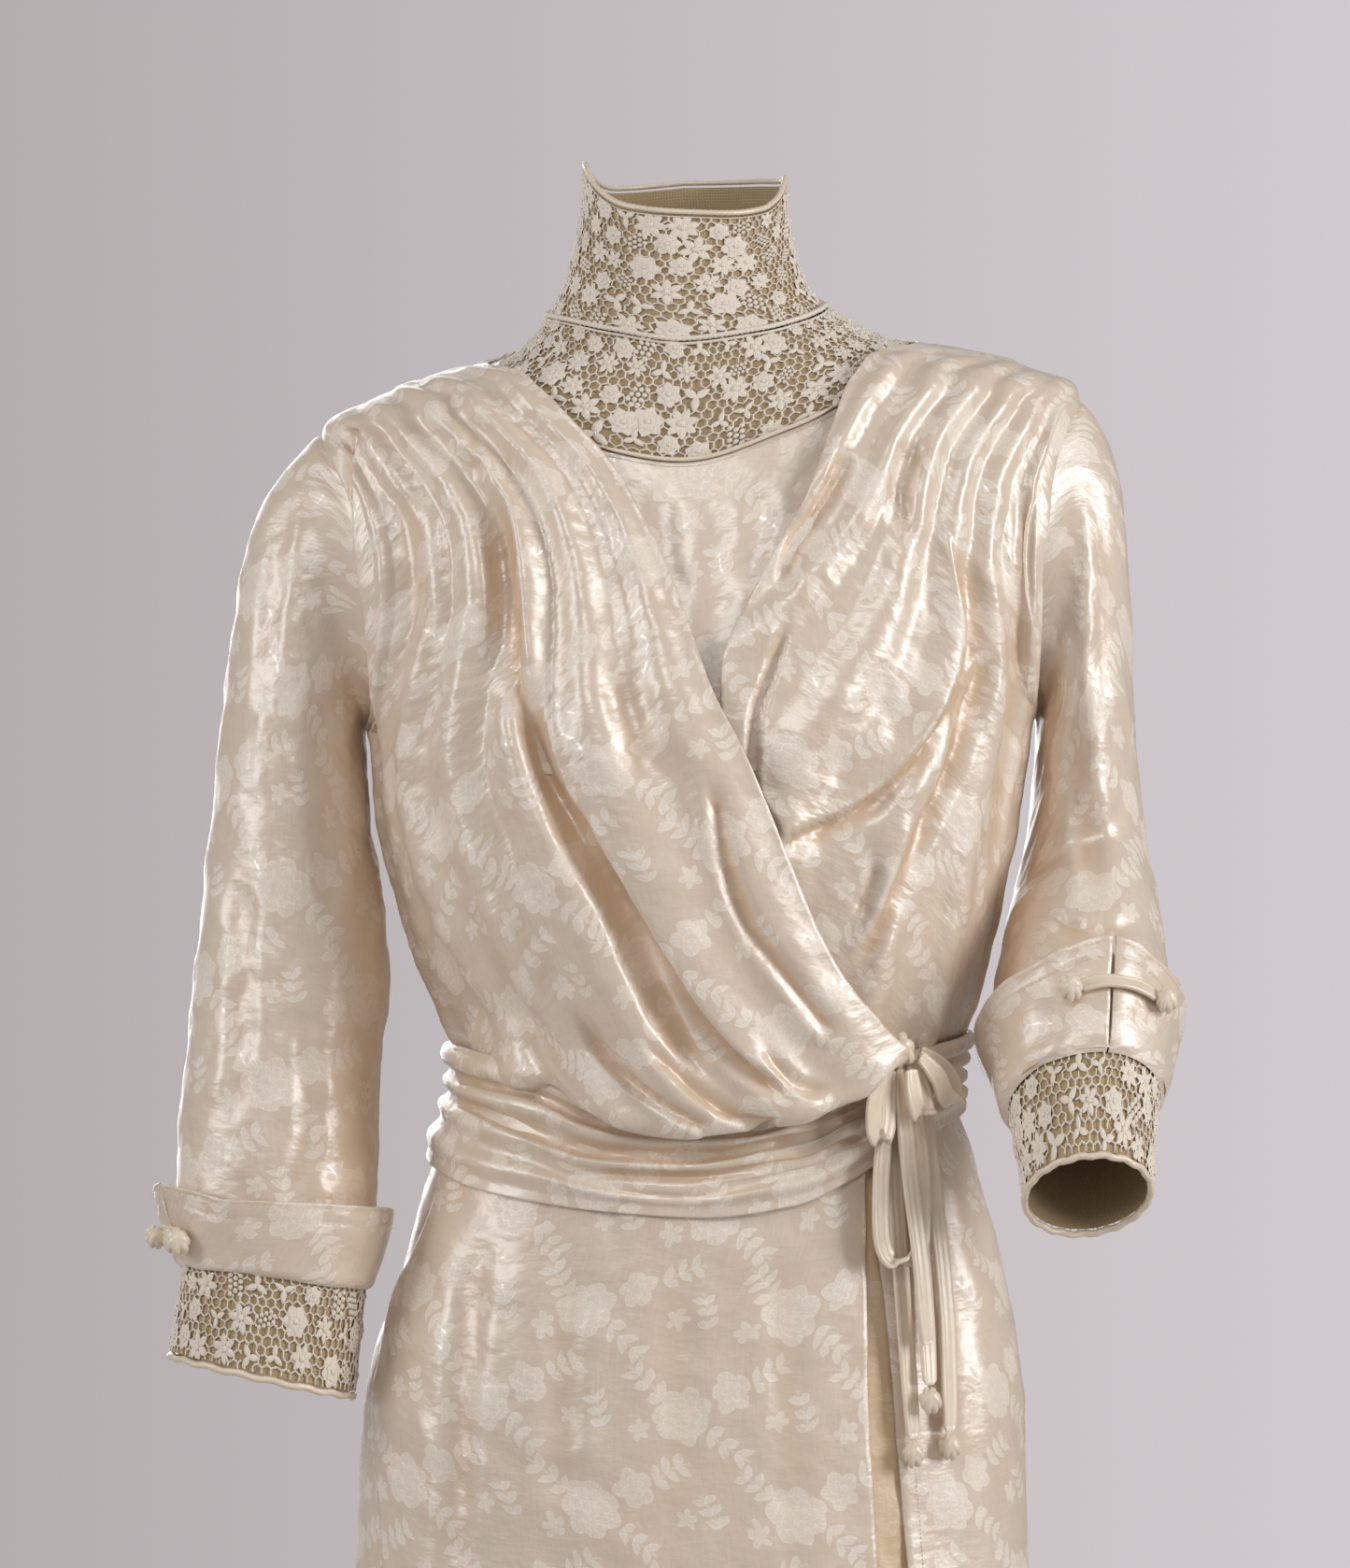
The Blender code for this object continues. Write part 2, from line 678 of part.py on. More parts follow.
def build_arm(side, table, hand):
    flip = hand > 0
    loop = steps(20)[:-1]
    cloth(f"sleeve_{side}", sleeve_point(table, hand), loop, sleeve_rings(side, 9), SILK_WALL, IVORY_SILK,
          closed=True, flip=flip)
    cloth(f"cuff_{side}", cuff_point(side, table), steps(18), steps(3), SILK_WALL, IVORY_SILK, flip=flip)
    cloth(f"undercuff_net_{side}", undercuff_point(side, table, "whole", ARM_NET_LAYER), net_lines(CUFF_HOLES), steps(2),
          NET_WALL, BEIGE_NET, closed=True, flip=flip)
    for half in ("front", "back"):
        lace(f"undercuff_lace_{side}_{half}", undercuff_point(side, table, half, ARM_LACE_LAYER), CUFF_HOLES, 2, flip=flip)
    middle = (ARM_NET_LAYER + ARM_LACE_LAYER + LACE_WALL) / 2
    down = (arm_ring(table, 1.0, 0, 0) - arm_ring(table, 0.97, 0, 0)).normalized()
    edge = [arm_ring(table, 1.0, around, middle) + down * (BINDING + LOOSE) for around in steps(20, 0, 360)[:-1]]
    cord(f"undercuff_binding_{side}", edge, BINDING, IVORY_SILK, closed=True)


# Knotted satin buttons and the strap between them, set on the turned-back cuff

BUTTONS = {
    # share round the cuff from the slit, share down it, radii, and how much lower it sits than the cuff's
    # curve, where the wall's flat facets lie inside that curve
    "right": [(0.035, 0.62, (8.0, 7.0, 8.0), 0.5), (0.975, 0.60, (6.5, 6.5, 6.5), 0.5)],
    "left": [(0.060, 0.50, (7.0, 6.5, 8.0), 0.0), (0.915, 0.45, (6.5, 6.5, 7.5), 0.5)],
}
STRAP_WIDTH, STRAP_THICK, STRAP_LIFT = 7.0, 2.4, 1.2
# The strap meets a button low on its side, at this share of its radius
STRAP_MEETS = 0.82


def cuff_outside(side, table, u, v, out):
    """Point outside the cuff's wall, straight out from its surface."""
    point = cuff_point(side, table)
    here = point(u, v)
    around = point(min(u + 0.01, 1), v) - point(max(u - 0.01, 0), v)
    down = point(u, min(v + 0.05, 1)) - point(u, max(v - 0.05, 0))
    normal = around.cross(down).normalized()
    start, end = CUFF_SPAN[side]
    row = table.at(blend(start, end, v))
    middle = Vector(((row.outer_x + row.inner_x) / 2, row.middle_y, (row.outer_z + row.inner_z) / 2))
    if normal.dot(here - middle) < 0:
        normal = -normal
    return here + normal * (SILK_WALL + out), normal


def build_buttons(side, table):
    (first_u, first_v, first_radii, _), (last_u, last_v, last_radii, _) = BUTTONS[side]
    for index, (u, v, radii, lower) in enumerate(BUTTONS[side], 1):
        _, normal = cuff_outside(side, table, u, v, 0)
        reach = Vector([radius * share for radius, share in zip(radii, normal)]).length
        middle, _ = cuff_outside(side, table, u, v, reach - lower)
        satin_knot(f"knot_button_{side}_{index}", middle, radii, IVORY_SILK)
    reach = first_u + 1 - last_u
    girth = 2 * math.pi * (table.at(CUFF_SPAN[side][0]).half_depth + CUFF_LAYER)
    ends = (STRAP_MEETS * first_radii[0] + SEAM) / girth, reach - (STRAP_MEETS * last_radii[0] + SEAM) / girth
    path = []
    for share in steps(5):
        along = blend(*ends, share)
        u = first_u - along if along < first_u else 1 - (along - first_u)
        place, _ = cuff_outside(side, table, u, blend(first_v, last_v, along / reach), STRAP_LIFT + STRAP_THICK / 2)
        path.append(place)
    row = table.at(blend(*CUFF_SPAN[side], 0.5))
    pitch = math.radians(row.pitch)
    band(f"cuff_strap_{side}", path, STRAP_WIDTH, STRAP_THICK, IVORY_SILK,
         side=Vector((0, -math.sin(pitch), -math.cos(pitch))))


# Sash and bow

SASH = Table("turn top bottom", [
    (-180, -366, -420),
    (-120, -366, -424),
    (-90, -366, -430),
    (-78, -367, -433),
    (-60, -386, -440),
    (-30, -388, -447),
    (0, -388, -450),
    (25, -388, -444),
    (40, -378, -431),
    (52, -366, -418),
    (70, -361, -408),
    (90, -360, -404),
    (130, -363, -410),
    (180, -366, -420),
])
SASH_HALVES = {"front": (-92, 92), "back": (92, 268)}
# Soft pleats that run round the waist: place at the wearer's right and left, as a share down the sash
SASH_FOLDS = [
    (0.12, 0.10, 0.10, 3.0, 1.0),
    (0.34, 0.32, 0.11, 4.5, 1.0),
    (0.58, 0.55, 0.11, 4.0, 1.0),
    (0.82, 0.80, 0.12, 3.5, 1.0),
]


def sash_point(half):
    start, end = SASH_HALVES[half]

    def point(u, v):
        turn = blend_turn(start, end, u, SKIRT_FLATNESS)
        row = SASH.at((turn + 180) % 360 - 180)
        run = u if half == "front" else 1 - u
        out = SASH_LAYER + fold_height(SASH_FOLDS, run, v)
        return figure(turn, blend(row.top, row.bottom, v), out) + half_shift(half)
    return point


# Bow: each tie is a row of places in the front view with how far it stands out from the figure.
# The ties lie flat along the waist, whose surface there faces this many degrees to the left.
BOW_FACES = 40
BOW_KNOT = (106, -357, 24.5)
BOW_KNOT_RADII = (8.5, 8.0, 9.5)
TIE_WIDTH, TIE_THICK = 9.0, 2.4
TIES = {
    # x, z, lift
    "loop_short": [(97, -368, 30), (92, -385, 31), (91, -402, 30), (95, -412, 27), (99, -402, 25), (99, -385, 25),
                   (100, -370, 25)],
    "loop_front": [(111, -369, 32), (113, -384, 34), (116, -399, 33), (120, -399, 30), (118, -383, 27),
                   (112, -367, 25)],
    "loop_outer": [(116.3, -362, 30), (126, -374, 33), (132, -392, 32), (137, -395, 29), (136, -382, 26),
                   (127, -370, 24), (116.3, -361, 23)],
    "loop_long": [(99, -371, 19), (97, -410, 19), (95, -445, 18), (96, -466, 17), (103, -476, 16.5), (112, -475, 16.5),
                  (118, -464, 17), (118, -435, 18), (114, -400, 19), (110, -372, 19)],
    "loop_folded": [(106, -369.4, 22.5), (108, -400, 22.4), (112, -440, 22.1), (117, -480, 22), (120, -521, 20)],
    "tail_inner": [(101, -369, 13.8), (102, -410, 13.8), (105, -460, 10), (109, -515, 8.3), (113, -570, 7.6)],
    "tail_middle": [(108.7, -371, 13.8), (110.7, -410, 13.8), (115.7, -450, 11), (119.7, -500, 11), (121.7, -542, 15)],
    "tail_outer": [(118, -369, 13.8), (121, -410, 13.8), (127, -460, 10), (132, -515, 8.2), (133, -568, 7.8)],
}
TAIL_KNOTS = {"tail_inner": (113, -578), "tail_middle": (122, -550), "tail_outer": (133, -576)}
TAIL_KNOT_RADII = (6.5, 6.0, 7.5)


def on_front(x, z, out):
    """Point in the front view, standing out from the figure."""
    level = level_at(x, z)
    return figure(turn_at(x, level, out), level, out)


def build_sash_and_bow():
    cloth("sash_front", sash_point("front"), steps(18), steps(9), SILK_WALL, IVORY_SILK)
    cloth("sash_back", sash_point("back"), steps(10), steps(7), SILK_WALL, IVORY_SILK)
    satin_knot("bow_knot", on_front(*BOW_KNOT), BOW_KNOT_RADII, IVORY_SILK)
    facing = math.radians(BOW_FACES)
    side = Vector((math.cos(facing), math.sin(facing), 0))
    for name, places in TIES.items():
        path = through([on_front(*place) for place in places], round(1.6 * len(places)))
        band(f"tie_{name}", path, TIE_WIDTH, TIE_THICK, IVORY_SILK, side=side)
    for name, (x, z) in TAIL_KNOTS.items():
        satin_knot(f"tie_knot_{name}", on_front(x, z, TIES[name][-1][2]), TAIL_KNOT_RADII, IVORY_SILK)


# Skirt. The front panel laps over the side and back panel at the wearer's right. Between its
# other edge and that panel the underlap shows.

OPENING = Table("down front_left_x front_right_x back_x", [
    (0.00, -128, 86, 91),
    (0.07, -146, 86, 93),
    (0.11, -163, 87, 98),
    (0.14, -171, 87, 101),
    (0.18, -176, 88, 104),
    (0.23, -172, 91, 108),
    (0.30, -168, 94, 113),
    (0.60, -186, 106, 130),
    (1.00, -214, 118, 150),
])
UNDERLAP_REACH = 26


FLUTES_START = -470
# The panels hang flat where they lap over each other: middle of each lap, and half its width
LAPS = [(38, 26), (-78, 20)]
LAP_FADE = 24


def flute(turn, level):
    """The skirt's soft flutes, which grow towards the hem."""
    depth = FLUTE_DEPTH * soft((FLUTES_START - level) / (FLUTES_START - HEM))
    for middle, half in LAPS:
        away = abs((turn - middle + 180) % 360 - 180)
        depth *= soft((away - half) / LAP_FADE)
    angle = math.radians(turn)
    return depth * (math.cos(FLUTES * angle + 0.6) + 0.4 * math.cos((FLUTES - 2) * angle + 2.0))


def skirt_level(v):
    return blend(SKIRT_TOP, HEM, v)


def skirt_point(start, end, layer):
    """Point on a skirt panel between two edges, each a function of how far down it is."""
    def point(u, v):
        level = skirt_level(v)
        turn = blend_turn(start(v), end(v), u, SKIRT_FLATNESS)
        return figure(turn, level, layer + flute(turn, level))
    return point


def opening_edge(column, reach=0.0):
    """Turn of a skirt panel's edge, as a function of how far down it is."""
    def turn(v):
        return turn_at(getattr(OPENING.at(v), column) + reach, skirt_level(v))
    return turn


def skirt_rows(count):
    return [share ** 1.9 for share in steps(count)]


def build_skirt():
    front_right = opening_edge("front_right_x")
    cloth("skirt_front", skirt_point(opening_edge("front_left_x"), front_right, PANEL_LAYER), steps(14), skirt_rows(11),
          SILK_WALL, IVORY_SILK)
    back_end = opening_edge("front_left_x", UNDERLAP_REACH)
    cloth("skirt_back", skirt_point(opening_edge("back_x"), lambda v: 360 + back_end(v), SKIRT_LAYER), steps(30),
          skirt_rows(11), SILK_WALL, IVORY_SILK)
    cloth("skirt_underlap", skirt_point(opening_edge("front_right_x", -UNDERLAP_REACH),
                                        opening_edge("back_x", UNDERLAP_REACH), UNDERLAP_LAYER),
          steps(5), skirt_rows(11), SILK_WALL, PEACH_SILK)


clear_scene()
shoulders = bpy.data.objects.new("shoulders", None)
GOWN.objects.link(shoulders)
build_collar_and_yoke()
build_plastron()
build_bodice()
for side, table, hand in (("right", RIGHT_ARM, -1), ("left", LEFT_ARM, 1)):
    build_arm(side, table, hand)
    build_buttons(side, table)
build_sash_and_bow()
build_skirt()
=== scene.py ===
import math
from functools import partial, reduce
from types import SimpleNamespace

import bpy
import numpy as np
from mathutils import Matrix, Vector
from mathutils.geometry import delaunay_2d_cdt


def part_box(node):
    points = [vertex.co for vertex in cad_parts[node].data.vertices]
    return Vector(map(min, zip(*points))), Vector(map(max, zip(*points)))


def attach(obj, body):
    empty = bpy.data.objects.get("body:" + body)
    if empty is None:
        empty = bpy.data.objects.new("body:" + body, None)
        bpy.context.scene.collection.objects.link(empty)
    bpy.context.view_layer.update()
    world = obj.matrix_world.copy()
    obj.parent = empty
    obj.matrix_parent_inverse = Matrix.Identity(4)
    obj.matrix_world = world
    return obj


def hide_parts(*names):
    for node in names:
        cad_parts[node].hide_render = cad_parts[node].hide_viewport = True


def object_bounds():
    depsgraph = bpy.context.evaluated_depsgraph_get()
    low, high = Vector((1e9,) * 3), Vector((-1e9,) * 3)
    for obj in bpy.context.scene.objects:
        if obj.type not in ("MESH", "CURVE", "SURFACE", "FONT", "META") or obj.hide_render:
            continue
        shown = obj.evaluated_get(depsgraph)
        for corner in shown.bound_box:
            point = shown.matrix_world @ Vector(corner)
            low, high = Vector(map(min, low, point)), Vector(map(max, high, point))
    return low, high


# The looks of a tea gown of ivory silk damask. Lengths are in millimetres and MM turns them to metres.
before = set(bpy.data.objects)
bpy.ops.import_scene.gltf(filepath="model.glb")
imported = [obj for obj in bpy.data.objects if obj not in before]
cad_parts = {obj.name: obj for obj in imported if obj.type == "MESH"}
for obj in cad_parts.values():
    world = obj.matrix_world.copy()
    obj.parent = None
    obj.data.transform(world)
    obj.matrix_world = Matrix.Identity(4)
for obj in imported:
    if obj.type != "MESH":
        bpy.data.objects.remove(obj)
cad_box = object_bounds()
MM = 0.001

# Layers, as they lie on the figure that the gown is cut for
SILK, LACE_WALL, NET_WALL, SEAM, LOOSE, LAPPED = 1.4, 1.2, 1.0, 0.3, 0.9, 1.3
NET_LAYER = 0.0
LACE_LAYER = NET_WALL + LOOSE
PLASTRON_LAYER = LACE_LAYER + LACE_WALL - SILK
BODICE_LAYER = 4.6
UNDERLAP_LAYER = -SILK - LOOSE
PANEL_LAYER = SILK + LAPPED
SASH_LAYER = PANEL_LAYER + SILK + LAPPED
ARM_LACE_LAYER = -LACE_WALL - SEAM
ARM_NET_LAYER = ARM_LACE_LAYER - NET_WALL - LOOSE
CUFF_LAYER = SILK + LOOSE
SHOULDER_RISE, RISE_FADES_FROM, RISE_FADES_TO = 0.05, -60, -320
ARMHOLE_MIDDLE, ARMHOLE_HALF_HEIGHT, ARMHOLE_HALF_TURN = -108, 85, 18
BODICE_FLATNESS, SKIRT_FLATNESS, COLLAR_FLATNESS = 1.7, 1.4, 1.3
SKIRT_TOP, HEM = -392, -1360
FLUTES, FLUTE_DEPTH, FLUTES_START = 6, 16, -470


def blend(start, end, share):
    return start + (end - start) * share


def soft(share):
    share = np.clip(share, 0.0, 1.0)
    return share * share * (3 - 2 * share)


def unit(vectors):
    return vectors / np.maximum(np.linalg.norm(vectors, axis=-1, keepdims=True), 1e-12)


def points(x, y, z):
    return np.stack(np.broadcast_arrays(x, y, z), axis=-1).astype(float)


class Sections:
    """Rows with named columns, read smoothly at any values of the first column."""

    def __init__(self, columns, rows):
        self.names = columns.split()
        self.rows = np.array(sorted(rows), float)
        chord = np.diff(self.rows, axis=0) / np.diff(self.rows[:, 0])[:, None]
        before, after = chord[:-1], chord[1:]
        total = np.where(before + after == 0, 1, before + after)
        inner = np.where(before * after <= 0, 0, 2 * before * after / total)
        self.slope = np.vstack([chord[:1], inner, chord[-1:]])

    def at(self, key):
        keys = self.rows[:, 0]
        key = np.clip(np.asarray(key, float), keys[0], keys[-1])
        i = np.clip(np.searchsorted(keys, key) - 1, 0, len(keys) - 2)
        width = (keys[i + 1] - keys[i])[..., None]
        t = (key - keys[i])[..., None] / width
        found = (self.rows[i] * (1 + 2 * t) * (1 - t) ** 2 + self.slope[i] * width * t * (1 - t) ** 2
                 + self.rows[i + 1] * t * t * (3 - 2 * t) + self.slope[i + 1] * width * t * t * (t - 1))
        return SimpleNamespace(**{name: found[..., k] for k, name in enumerate(self.names)})


def table(text):
    """Sections from a line of column names and lines of numbers."""
    names, *rows = text.strip().splitlines()
    return Sections(names, [[float(number) for number in row.split()] for row in rows])


def line_through(places, count):
    """Points along a smooth line through a short list of places."""
    places = np.array(places, float)
    names = "abc"[:places.shape[1]]
    last = len(places) - 1
    rows = Sections("share " + " ".join(names), [(i / last, *row) for i, row in enumerate(places)])
    found = rows.at(np.linspace(0, 1, count))
    return np.stack([getattr(found, name) for name in names], axis=-1)


# The figure that the gown is cut for

FIGURE = table("""
level half_width front back middle square
130 52 50 52 -9 2.0
90 54 51 53 -9 2.0
60 60 54 55 -10 2.0
46 65 57 58 -10 2.0
34 72 60 61 -9 2.0
22 85 64 67 -5 2.1
10 104 68 75 -1 2.2
0 136 72 81 0 2.3
-10 173 76 87 0 2.4
-22 201 81 93 0 2.5
-40 203 87 100 0 2.5
-73 199 97 106 0 2.5
-120 189 110 108 0 2.4
-165 179 120 105 0 2.3
-200 172 123 99 -1 2.3
-241 168 122 92 -2 2.2
-297 157 115 83 -1 2.2
-337 144 107 76 2 2.2
-364 134 102 73 4 2.2
-385 134 101 75 3 2.2
-430 147 104 88 2 2.2
-490 165 110 105 0 2.2
-555 180 117 118 -3 2.2
-655 186 126 128 -4 2.2
-900 208 150 158 -2 2.1
-1150 236 180 194 0 2.1
-1360 258 204 228 0 2.0
""")


def rise(level, x):
    return SHOULDER_RISE * x * soft((level - RISE_FADES_TO) / (RISE_FADES_FROM - RISE_FADES_TO))


def figure_skin(turn, level):
    section = FIGURE.at(level)
    angle = np.radians(turn)
    depth = np.where(np.cos(angle) > 0, section.front, section.back)
    reach = ((abs(np.sin(angle)) / section.half_width) ** section.square
             + (abs(np.cos(angle)) / depth) ** section.square) ** (-1 / section.square)
    x = section.middle + reach * np.sin(angle)
    return points(x, -reach * np.cos(angle), level + rise(level, x))


def figure(turn, level, out=0.0):
    """Places that lie out from the figure: turn is 0 in front, 90 at the wearer's left, 180 behind."""
    turn, level, out = np.broadcast_arrays(np.asarray(turn, float), np.asarray(level, float), out)
    along = figure_skin(turn + 0.5, level) - figure_skin(turn - 0.5, level)
    down = figure_skin(turn, level - 1) - figure_skin(turn, level + 1)
    return figure_skin(turn, level) + unit(np.cross(down, along)) * out[..., None]


def level_at(x, z):
    return z - rise(z, x)


def spread(turn, flatness):
    """Turn as it is counted on a round section, for a section that is flatness times as wide as deep."""
    quarter = 180 * np.round(np.asarray(turn, float) / 180)
    angle = np.radians(turn - quarter)
    return quarter + np.degrees(np.arctan2(np.sin(angle), flatness * np.cos(angle)))


def blend_turn(start, end, share, flatness):
    """Turn between two others, spaced evenly along a wide flat section."""
    return spread(blend(spread(start, flatness), spread(end, flatness), share), 1 / flatness)


def turn_at(x, level, out=0.0):
    """Turn of the place in front of the figure with the given x."""
    x, level, out = np.broadcast_arrays(np.asarray(x, float), np.asarray(level, float), out)
    low, high = np.full(x.shape, -90.0), np.full(x.shape, 90.0)
    for _ in range(24):
        turn = (low + high) / 2
        left_of = figure(turn, level, out)[..., 0] < x
        low = np.where(left_of, turn, low)
        high = np.where(left_of, high, turn)
    return (low + high) / 2


def on_front(x, z, out):
    """Places in the front view, standing out from the figure."""
    level = level_at(np.asarray(x, float), np.asarray(z, float))
    return figure(turn_at(x, level, out), level, out)


# Collar, yoke and plastron

COLLAR = table("""
turn base rim yoke_end
-180 42 104 -19
-135 40 102 -11
-100 36 111 7
-90 34 114 9
-80 33 112 7
-62 30 100 -12
-36 23 88 -38
-5 16 83 -49
30 19 81 -34
50 23 83 -17
66 27 89 -4
80 30 97 4
90 31 101 6
100 34 100 4
135 40 102 -11
180 42 104 -19
""")
RIM_BINDING, COLLAR_SEAM = 1.5, 1.0
PLASTRON_SIDES, PLASTRON_END = (-40, 42), -212
PIPING, PIPING_SPAN = 1.2, (-31, 41)


def collar_row(turn):
    return COLLAR.at((turn + 180) % 360 - 180)


def collar_place(u, v, out):
    turn = blend_turn(-90, 270, u, COLLAR_FLATNESS)
    row = collar_row(turn)
    return figure(turn, blend(row.rim, row.base, v), out)


def yoke_place(u, v, out):
    turn = blend_turn(-90, 270, u, COLLAR_FLATNESS)
    row = collar_row(turn)
    return figure(turn, blend(row.base - COLLAR_SEAM, row.yoke_end, v), out)


def plastron_place(u, v):
    turn = blend_turn(*PLASTRON_SIDES, u, BODICE_FLATNESS)
    top = collar_row(turn).yoke_end - COLLAR_SEAM
    return figure(turn, blend(top, PLASTRON_END, v), PLASTRON_LAYER + SILK)


# Bodice

RIGHT_FRONT = table("""
down side_level edge_x edge_z sag side_lift edge_lift
0.00 -23 -105 8 0 0.0 0.0
0.07 -38 -92 -8 0 1.0 0.0
0.15 -62 -72 -26 0 4.0 0.5
0.25 -95 -46 -54 0 7.0 1.0
0.35 -130 -26 -90 0 6.0 2.0
0.45 -166 -8 -134 0 5.0 3.0
0.55 -202 6 -172 0 3.0 7.0
0.65 -241 23 -205 0 1.5 10.0
0.75 -281 41 -252 0 0.5 11.0
0.85 -318 61 -303 10 0.0 12.0
0.93 -345 80 -335 26 0.0 13.0
1.00 -363 94 -352 42 0.0 13.0
""")
LEFT_FRONT = table("""
down side_level edge_x edge_z sag side_lift edge_lift
0.00 -23 97 14 0 0.0 0.0
0.07 -38 88 2 0 1.0 0.0
0.15 -62 76 -14 0 4.0 0.5
0.25 -95 67 -38 0 7.0 1.0
0.35 -130 56 -67 0 7.0 1.0
0.45 -164 40 -95 0 6.0 1.0
0.55 -198 23 -127 0 4.0 1.0
0.65 -233 11 -156 0 2.0 1.0
0.75 -268 10 -190 0 1.0 1.0
0.85 -304 24 -226 0 0.0 0.5
0.93 -335 34 -290 0 0.0 0.0
1.00 -358 44 -354 0 0.0 0.0
""")
BACK = table("""
down side_level edge_turn edge_level
0.00 -23 90 11
0.06 -38 112 5
0.13 -62 140 -7
0.22 -95 180 -14
0.45 -166 180 -110
0.70 -250 180 -230
1.00 -358 180 -364
""")
# Soft ridges: start and end as a share across the panel, width, height, bend
RIGHT_FOLDS = [
    (0.15, 0.13, 0.05, 3.0, 1.0),
    (0.32, 0.42, 0.09, 5.0, 1.5),
    (0.47, 0.60, 0.08, 7.0, 1.6),
    (0.62, 0.72, 0.07, 8.0, 1.6),
    (0.76, 0.84, 0.07, 7.0, 1.5),
    (0.92, 0.95, 0.06, 5.0, 1.2),
]
LEFT_FOLDS = [
    (0.15, 0.13, 0.05, 3.0, 1.0),
    (0.30, 0.55, 0.08, 4.0, 1.8),
    (0.44, 0.80, 0.08, 5.0, 1.8),
    (0.58, 1.05, 0.08, 6.0, 1.8),
    (0.72, 1.35, 0.07, 5.0, 1.8),
    (0.88, 1.70, 0.07, 4.0, 1.8),
]
BACK_FOLDS = [
    (0.25, 0.60, 0.08, 4.0, 1.3),
    (0.42, 0.74, 0.07, 4.0, 1.2),
    (0.60, 0.88, 0.06, 3.0, 1.1),
]
SHOULDER_SHARE = 0.07
YOKE_LIFT, YOKE_LIFT_ENDS = 3.0, 0.45
SIDE_SHARE, FOLDS_GROW = 0.3, 0.12
EDGE_LIFT_FROM, EDGE_LIFT_WIDTH = 0.35, 0.6
BLOUSE, BLOUSE_STARTS, BLOUSE_CLEAR_OF_SIDE, BLOUSE_GROWS = 14, 0.62, 0.26, 0.34
SAG_FROM, SAG_WIDTH, SAG_END = 0.10, 0.22, 0.10
# How a panel lies down at its neck corner: how much, how far down it, from what share across, over how much
FRONT_CORNER = [(1.7, 0.07, 0.60, 0.30), (2.4, 0.06, 0.78, 0.16)]
BACK_CORNER = [(3.4, 0.14, 0.50, 0.35), (3.0, 0.05, 0.75, 0.20)]


def fold_height(folds, along, across):
    height = np.zeros(np.broadcast(along, across).shape)
    for start, end, width, ridge, bend in folds:
        away = (across - blend(start, end, along ** bend)) / width
        height += ridge * np.where(abs(away) < 1, 0.5 + 0.5 * np.cos(np.pi * away), 0)
    return height


def side_turn(level):
    share = (level - ARMHOLE_MIDDLE) / ARMHOLE_HALF_HEIGHT
    return 90 - ARMHOLE_HALF_TURN * np.sqrt(np.maximum(0.0, 1 - share * share))


def eased_side_turn(level):
    """The same without the corners of the armhole, which only the cloth beside it follows."""
    return sum(side_turn(level + step) for step in range(-48, 49, 8)) / 13


def side_start(level, across, down):
    """The turn that a panel starts from at its side."""
    eased = soft(across / SIDE_SHARE) * soft(down / FOLDS_GROW)
    return blend(side_turn(level), eased_side_turn(level), eased)


def yoke_lift(down, across):
    return YOKE_LIFT * soft((across - 0.35) / 0.4) * soft((YOKE_LIFT_ENDS - down) / 0.2)


def laid_down(corner, down, across):
    return sum(much * soft(1 - down / long) * soft((across - start) / wide)
               for much, long, start, wide in corner)


def front_place(sections, folds, hand, blouse):
    """Places on a surplice front: hand is -1 for the wearer's right and 1 for the left."""
    def place(u, v):
        across = u if hand < 0 else 1 - u
        row = sections.at(v)
        edge_level = level_at(row.edge_x, row.edge_z)
        edge_turn = blend(hand * 90, turn_at(row.edge_x, edge_level), soft(v / SHOULDER_SHARE))
        turn = blend_turn(hand * side_start(row.side_level, across, v), edge_turn, across, BODICE_FLATNESS)
        level = blend(row.side_level, edge_level, across)
        level = level - row.sag * soft((across - SAG_FROM) / SAG_WIDTH) * soft((1 - across) / SAG_END)
        out = (BODICE_LAYER + row.side_lift * soft(1 - across / SIDE_SHARE)
               + row.edge_lift * soft((across - EDGE_LIFT_FROM) / EDGE_LIFT_WIDTH)
               + fold_height(folds, v, across) * soft(v / FOLDS_GROW)
               + yoke_lift(v, across) - laid_down(FRONT_CORNER, v, across))
        if blouse:
            out = out + (BLOUSE * soft((v - BLOUSE_STARTS) / (1 - BLOUSE_STARTS))
                         * soft((across - BLOUSE_CLEAR_OF_SIDE) / BLOUSE_GROWS))
        return figure(turn, level, out + SILK / 2)
    return place


POUCH_EDGE = table("""
x z
-150 -384
-100 -384
-86 -382
-70 -389
-48 -400
-22 -405
4 -404
33 -400
53 -399
73 -392
97 -378
""")
ROLL, ROLL_FROM, ROLL_TURN = 9.0, 0.92, math.radians(150)
LOWERED_FROM, LOWERED_OVER = 0.72, 0.28
SIDE_TUCK, SIDE_TUCK_X, SIDE_TUCK_OVER, SIDE_TUCK_FROM = 3.5, -80, 20, 0.70
TUCK_FROM, TUCK_DOWN, TUCK_IN = 0.94, 14, 6


